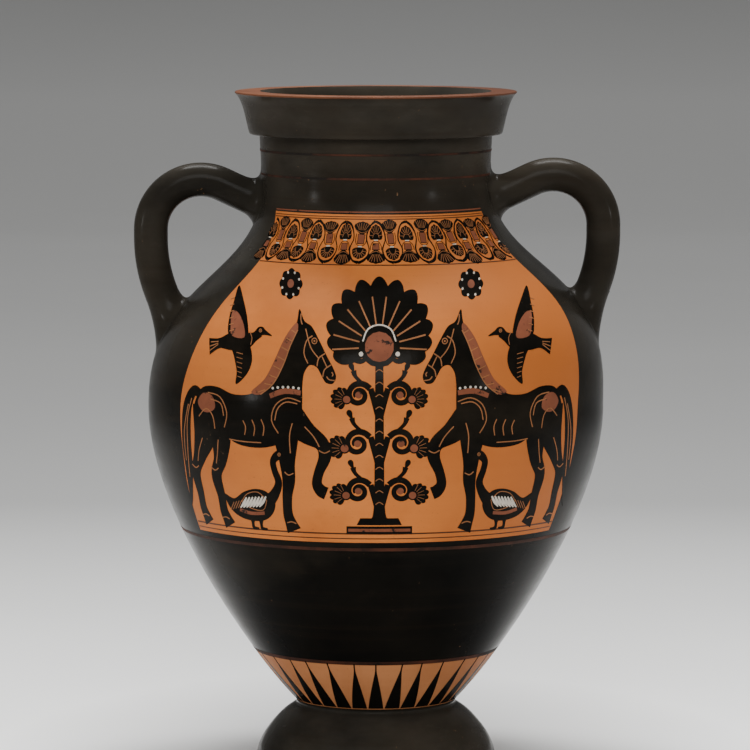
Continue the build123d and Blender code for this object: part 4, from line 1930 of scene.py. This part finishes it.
@dataclass
class Studio:
    """Pale sweep, soft light and the camera at the photograph's viewing angle.

    Attributes:
        look_down: pitch of the camera in degrees.
        half_width: half the width of the sweep, and the length of its floor towards the camera.
        floor_end: place where the floor starts to rise.
        wall_place: place of the upright backdrop, which starts at the height of wall_foot.
        grading_start: place where the sweep's grading starts, in front of the jar.
        side_zone: distances to the side over which the sweep turns even.
        shade_zone: distances from the axis over which the shade under the jar fades out.
        PAINTED_LIGHT_GREYS: tone of the sweep by its share of the depth: painted light and shade, darker in
            front of the jar, brightest round it and darker up the backdrop.
        LIGHTS: name, place, aim, size and power in watts of each light.
    """
    distance: float = 3.0
    lens_mm: float = 240.0
    look_down: float = 5.65
    aim: Triple = (-0.0005, 0.0, 0.2346)
    view_end: float = 50.0
    half_width: float = 70.0
    floor_end: float = 4.5
    wall_place: float = 6.2
    wall_foot: float = 1.7
    wall_height: float = 8.0
    sweep_leads: Leads = ((1.1, 0.0), (0.0, -1.1))
    grading_start: float = -0.8
    side_zone: Point = (1.2, 4.0)
    shade_zone: Point = (0.09, 0.24)
    shade_share: float = 0.55
    surround: Colour = (0.5, 0.5, 0.5)
    surround_strength: float = 0.35
    JAR_MIDDLE: ClassVar[Triple] = (0.0, 0.0, 0.22)
    PAINTED_LIGHT_GREYS: ClassVar[tuple[Point, ...]] = (
        (0.0, 0.34), (0.075, 0.60), (0.12, 0.98), (0.157, 0.81), (0.21, 0.61), (0.295, 0.385), (0.49, 0.54),
        (0.75, 0.58), (0.88, 0.45), (0.935, 0.27), (1.0, 0.10))
    LIGHTS: ClassVar[tuple[tuple[str, Triple, Triple, Point, float], ...]] = (
        ("overhead", (0.0, 0.42, 1.9), JAR_MIDDLE, (1.2, 0.5), 60.0),
        ("backdrop_light", (0.0, 3.4, 4.5), (0.0, 5.0, 0.0), (4.0, 1.0), 72.0),
        ("left_box", (-2.06, -1.03, 0.46), JAR_MIDDLE, (0.11, 0.20), 7.0),
        ("right_box", (1.92, -1.25, 0.60), JAR_MIDDLE, (0.12, 0.20), 5.0),
        ("front_box", (-0.1, -3.6, 2.2), JAR_MIDDLE, (2.4, 1.6), 108.0))

    def build(self) -> None:
        """Build the stage, the lights and the camera."""
        self.build_sweep()
        for light in self.LIGHTS:
            self.add_light(*light)
        self.build_surround()
        self.build_camera()

    def sweep_finish(self) -> Material:
        """Pale matt finish with painted light and shade: graded from front to back, even far to the sides,
        and a painted shadow under the jar.

        Returns:
            The material.
        """
        tree = NodeTree("pale_sweep")
        depth = tree.spread(tree.coordinate("Y"), self.grading_start, self.wall_place)
        # Painted light and shade: the floor is brightest round the jar, darker in front of it, and the
        # backdrop darker still.
        tone = tree.ramp(depth, [(place, (grey, grey, 0.985 * grey)) for place, grey in self.PAINTED_LIGHT_GREYS])
        cloud = tree.spread(tree.noise(3.0, 3.0), 0.3, 0.7, 0.0, 0.08)
        far = tree.spread(tree.distance((1.0, 0.0, 0.0)), *self.side_zone)
        # Painted shadow: the floor darkens round the foot of the jar.
        shade = tree.spread(tree.distance((1.0, 0.69, 0.0)), *self.shade_zone, self.shade_share, 0.0)
        for share, grey in ((cloud, 0.4), (far, 0.92), (shade, 0.06)):
            tone = tree.mix(share, tone, (grey, grey, grey))
        tree.wire(tree.shader, {"Base Color": tone, "Roughness": 0.7})
        return tree.material

    def build_sweep(self) -> None:
        """Floor that curves up into a backdrop."""
        work = bmesh.new()
        curve = Bow((self.floor_end, 0.0), *self.sweep_leads, (self.wall_place, self.wall_foot))
        profile = [(-self.half_width, 0.0), *curve.run(24), (self.wall_place, self.wall_height)]
        edges = chain(work, [(-self.half_width, along, height) for along, height in profile])[1]
        made = bmesh.ops.extrude_edge_only(work, edges=edges)["geom"]
        bmesh.ops.translate(work, verts=new_verts(made), vec=(2 * self.half_width, 0.0, 0.0))
        keep_mesh(work, "sweep", (self.sweep_finish(),))

    def add_light(self, name: str, spot: Triple, aim: Triple, size: Point, power: float) -> None:
        """Add a soft rectangular light.

        Args:
            name: name of the light.
            spot: its place.
            aim: the point it faces.
            size: width and height.
            power: watts.
        """
        data = bpy.data.lights.new(name, "AREA")
        data.shape = "RECTANGLE"
        data.size, data.size_y = size
        data.energy = power
        light = bpy.data.objects.new(name, data)
        light.location = spot
        light.rotation_euler = (Vector(aim) - Vector(spot)).to_track_quat("-Z", "Y").to_euler()
        bpy.context.scene.collection.objects.link(light)

    def build_surround(self) -> None:
        """Light the scene from all sides with a dim grey."""
        world = bpy.data.worlds.new("surround")
        world.use_nodes = True
        background = world.node_tree.nodes["Background"]
        background.inputs["Color"].default_value = (*self.surround, 1.0)
        background.inputs["Strength"].default_value = self.surround_strength
        bpy.context.scene.world = world

    def build_camera(self) -> None:
        """Camera a little above the belly, looking down along +Y."""
        pitch = math.radians(self.look_down)
        data = bpy.data.cameras.new("camera")
        data.lens = self.lens_mm
        data.clip_end = self.view_end
        camera = bpy.data.objects.new("camera", data)
        camera.location = Vector(self.aim) + self.distance * Vector((0.0, -math.cos(pitch), math.sin(pitch)))
        camera.rotation_euler = (math.pi / 2 - pitch, 0.0, 0.0)
        bpy.context.scene.collection.objects.link(camera)
        bpy.context.scene.camera = camera


RED_LINES: tuple[WallBand, ...] = (
    WallBand("upper_neck_line", (369.6, 370.1, 370.7), 0.12),
    WallBand("lower_neck_line", (355.5, 356.0, 356.7), 0.12),
    WallBand("under_panel_line", (143.6, 144.5, 145.5), 0.10))


def main() -> None:
    """Build the jar, its painting and the studio."""
    logging.basicConfig(level=logging.INFO, format="%(name)s %(message)s")
    palette = Palette()
    Vessel(palette).build()
    Handle(palette, Side.LEFT, inset=0.0023, rise=0.001).build()
    Handle(palette, Side.RIGHT, inset=0.0008, rise=0.004).build()
    for band in RED_LINES:
        band.build(palette.dull_red)
    BaseRays(palette).build()
    for facing in Facing:
        Panel(palette, facing).build()
    Studio().build()


if __name__ == "__main__":
    main()
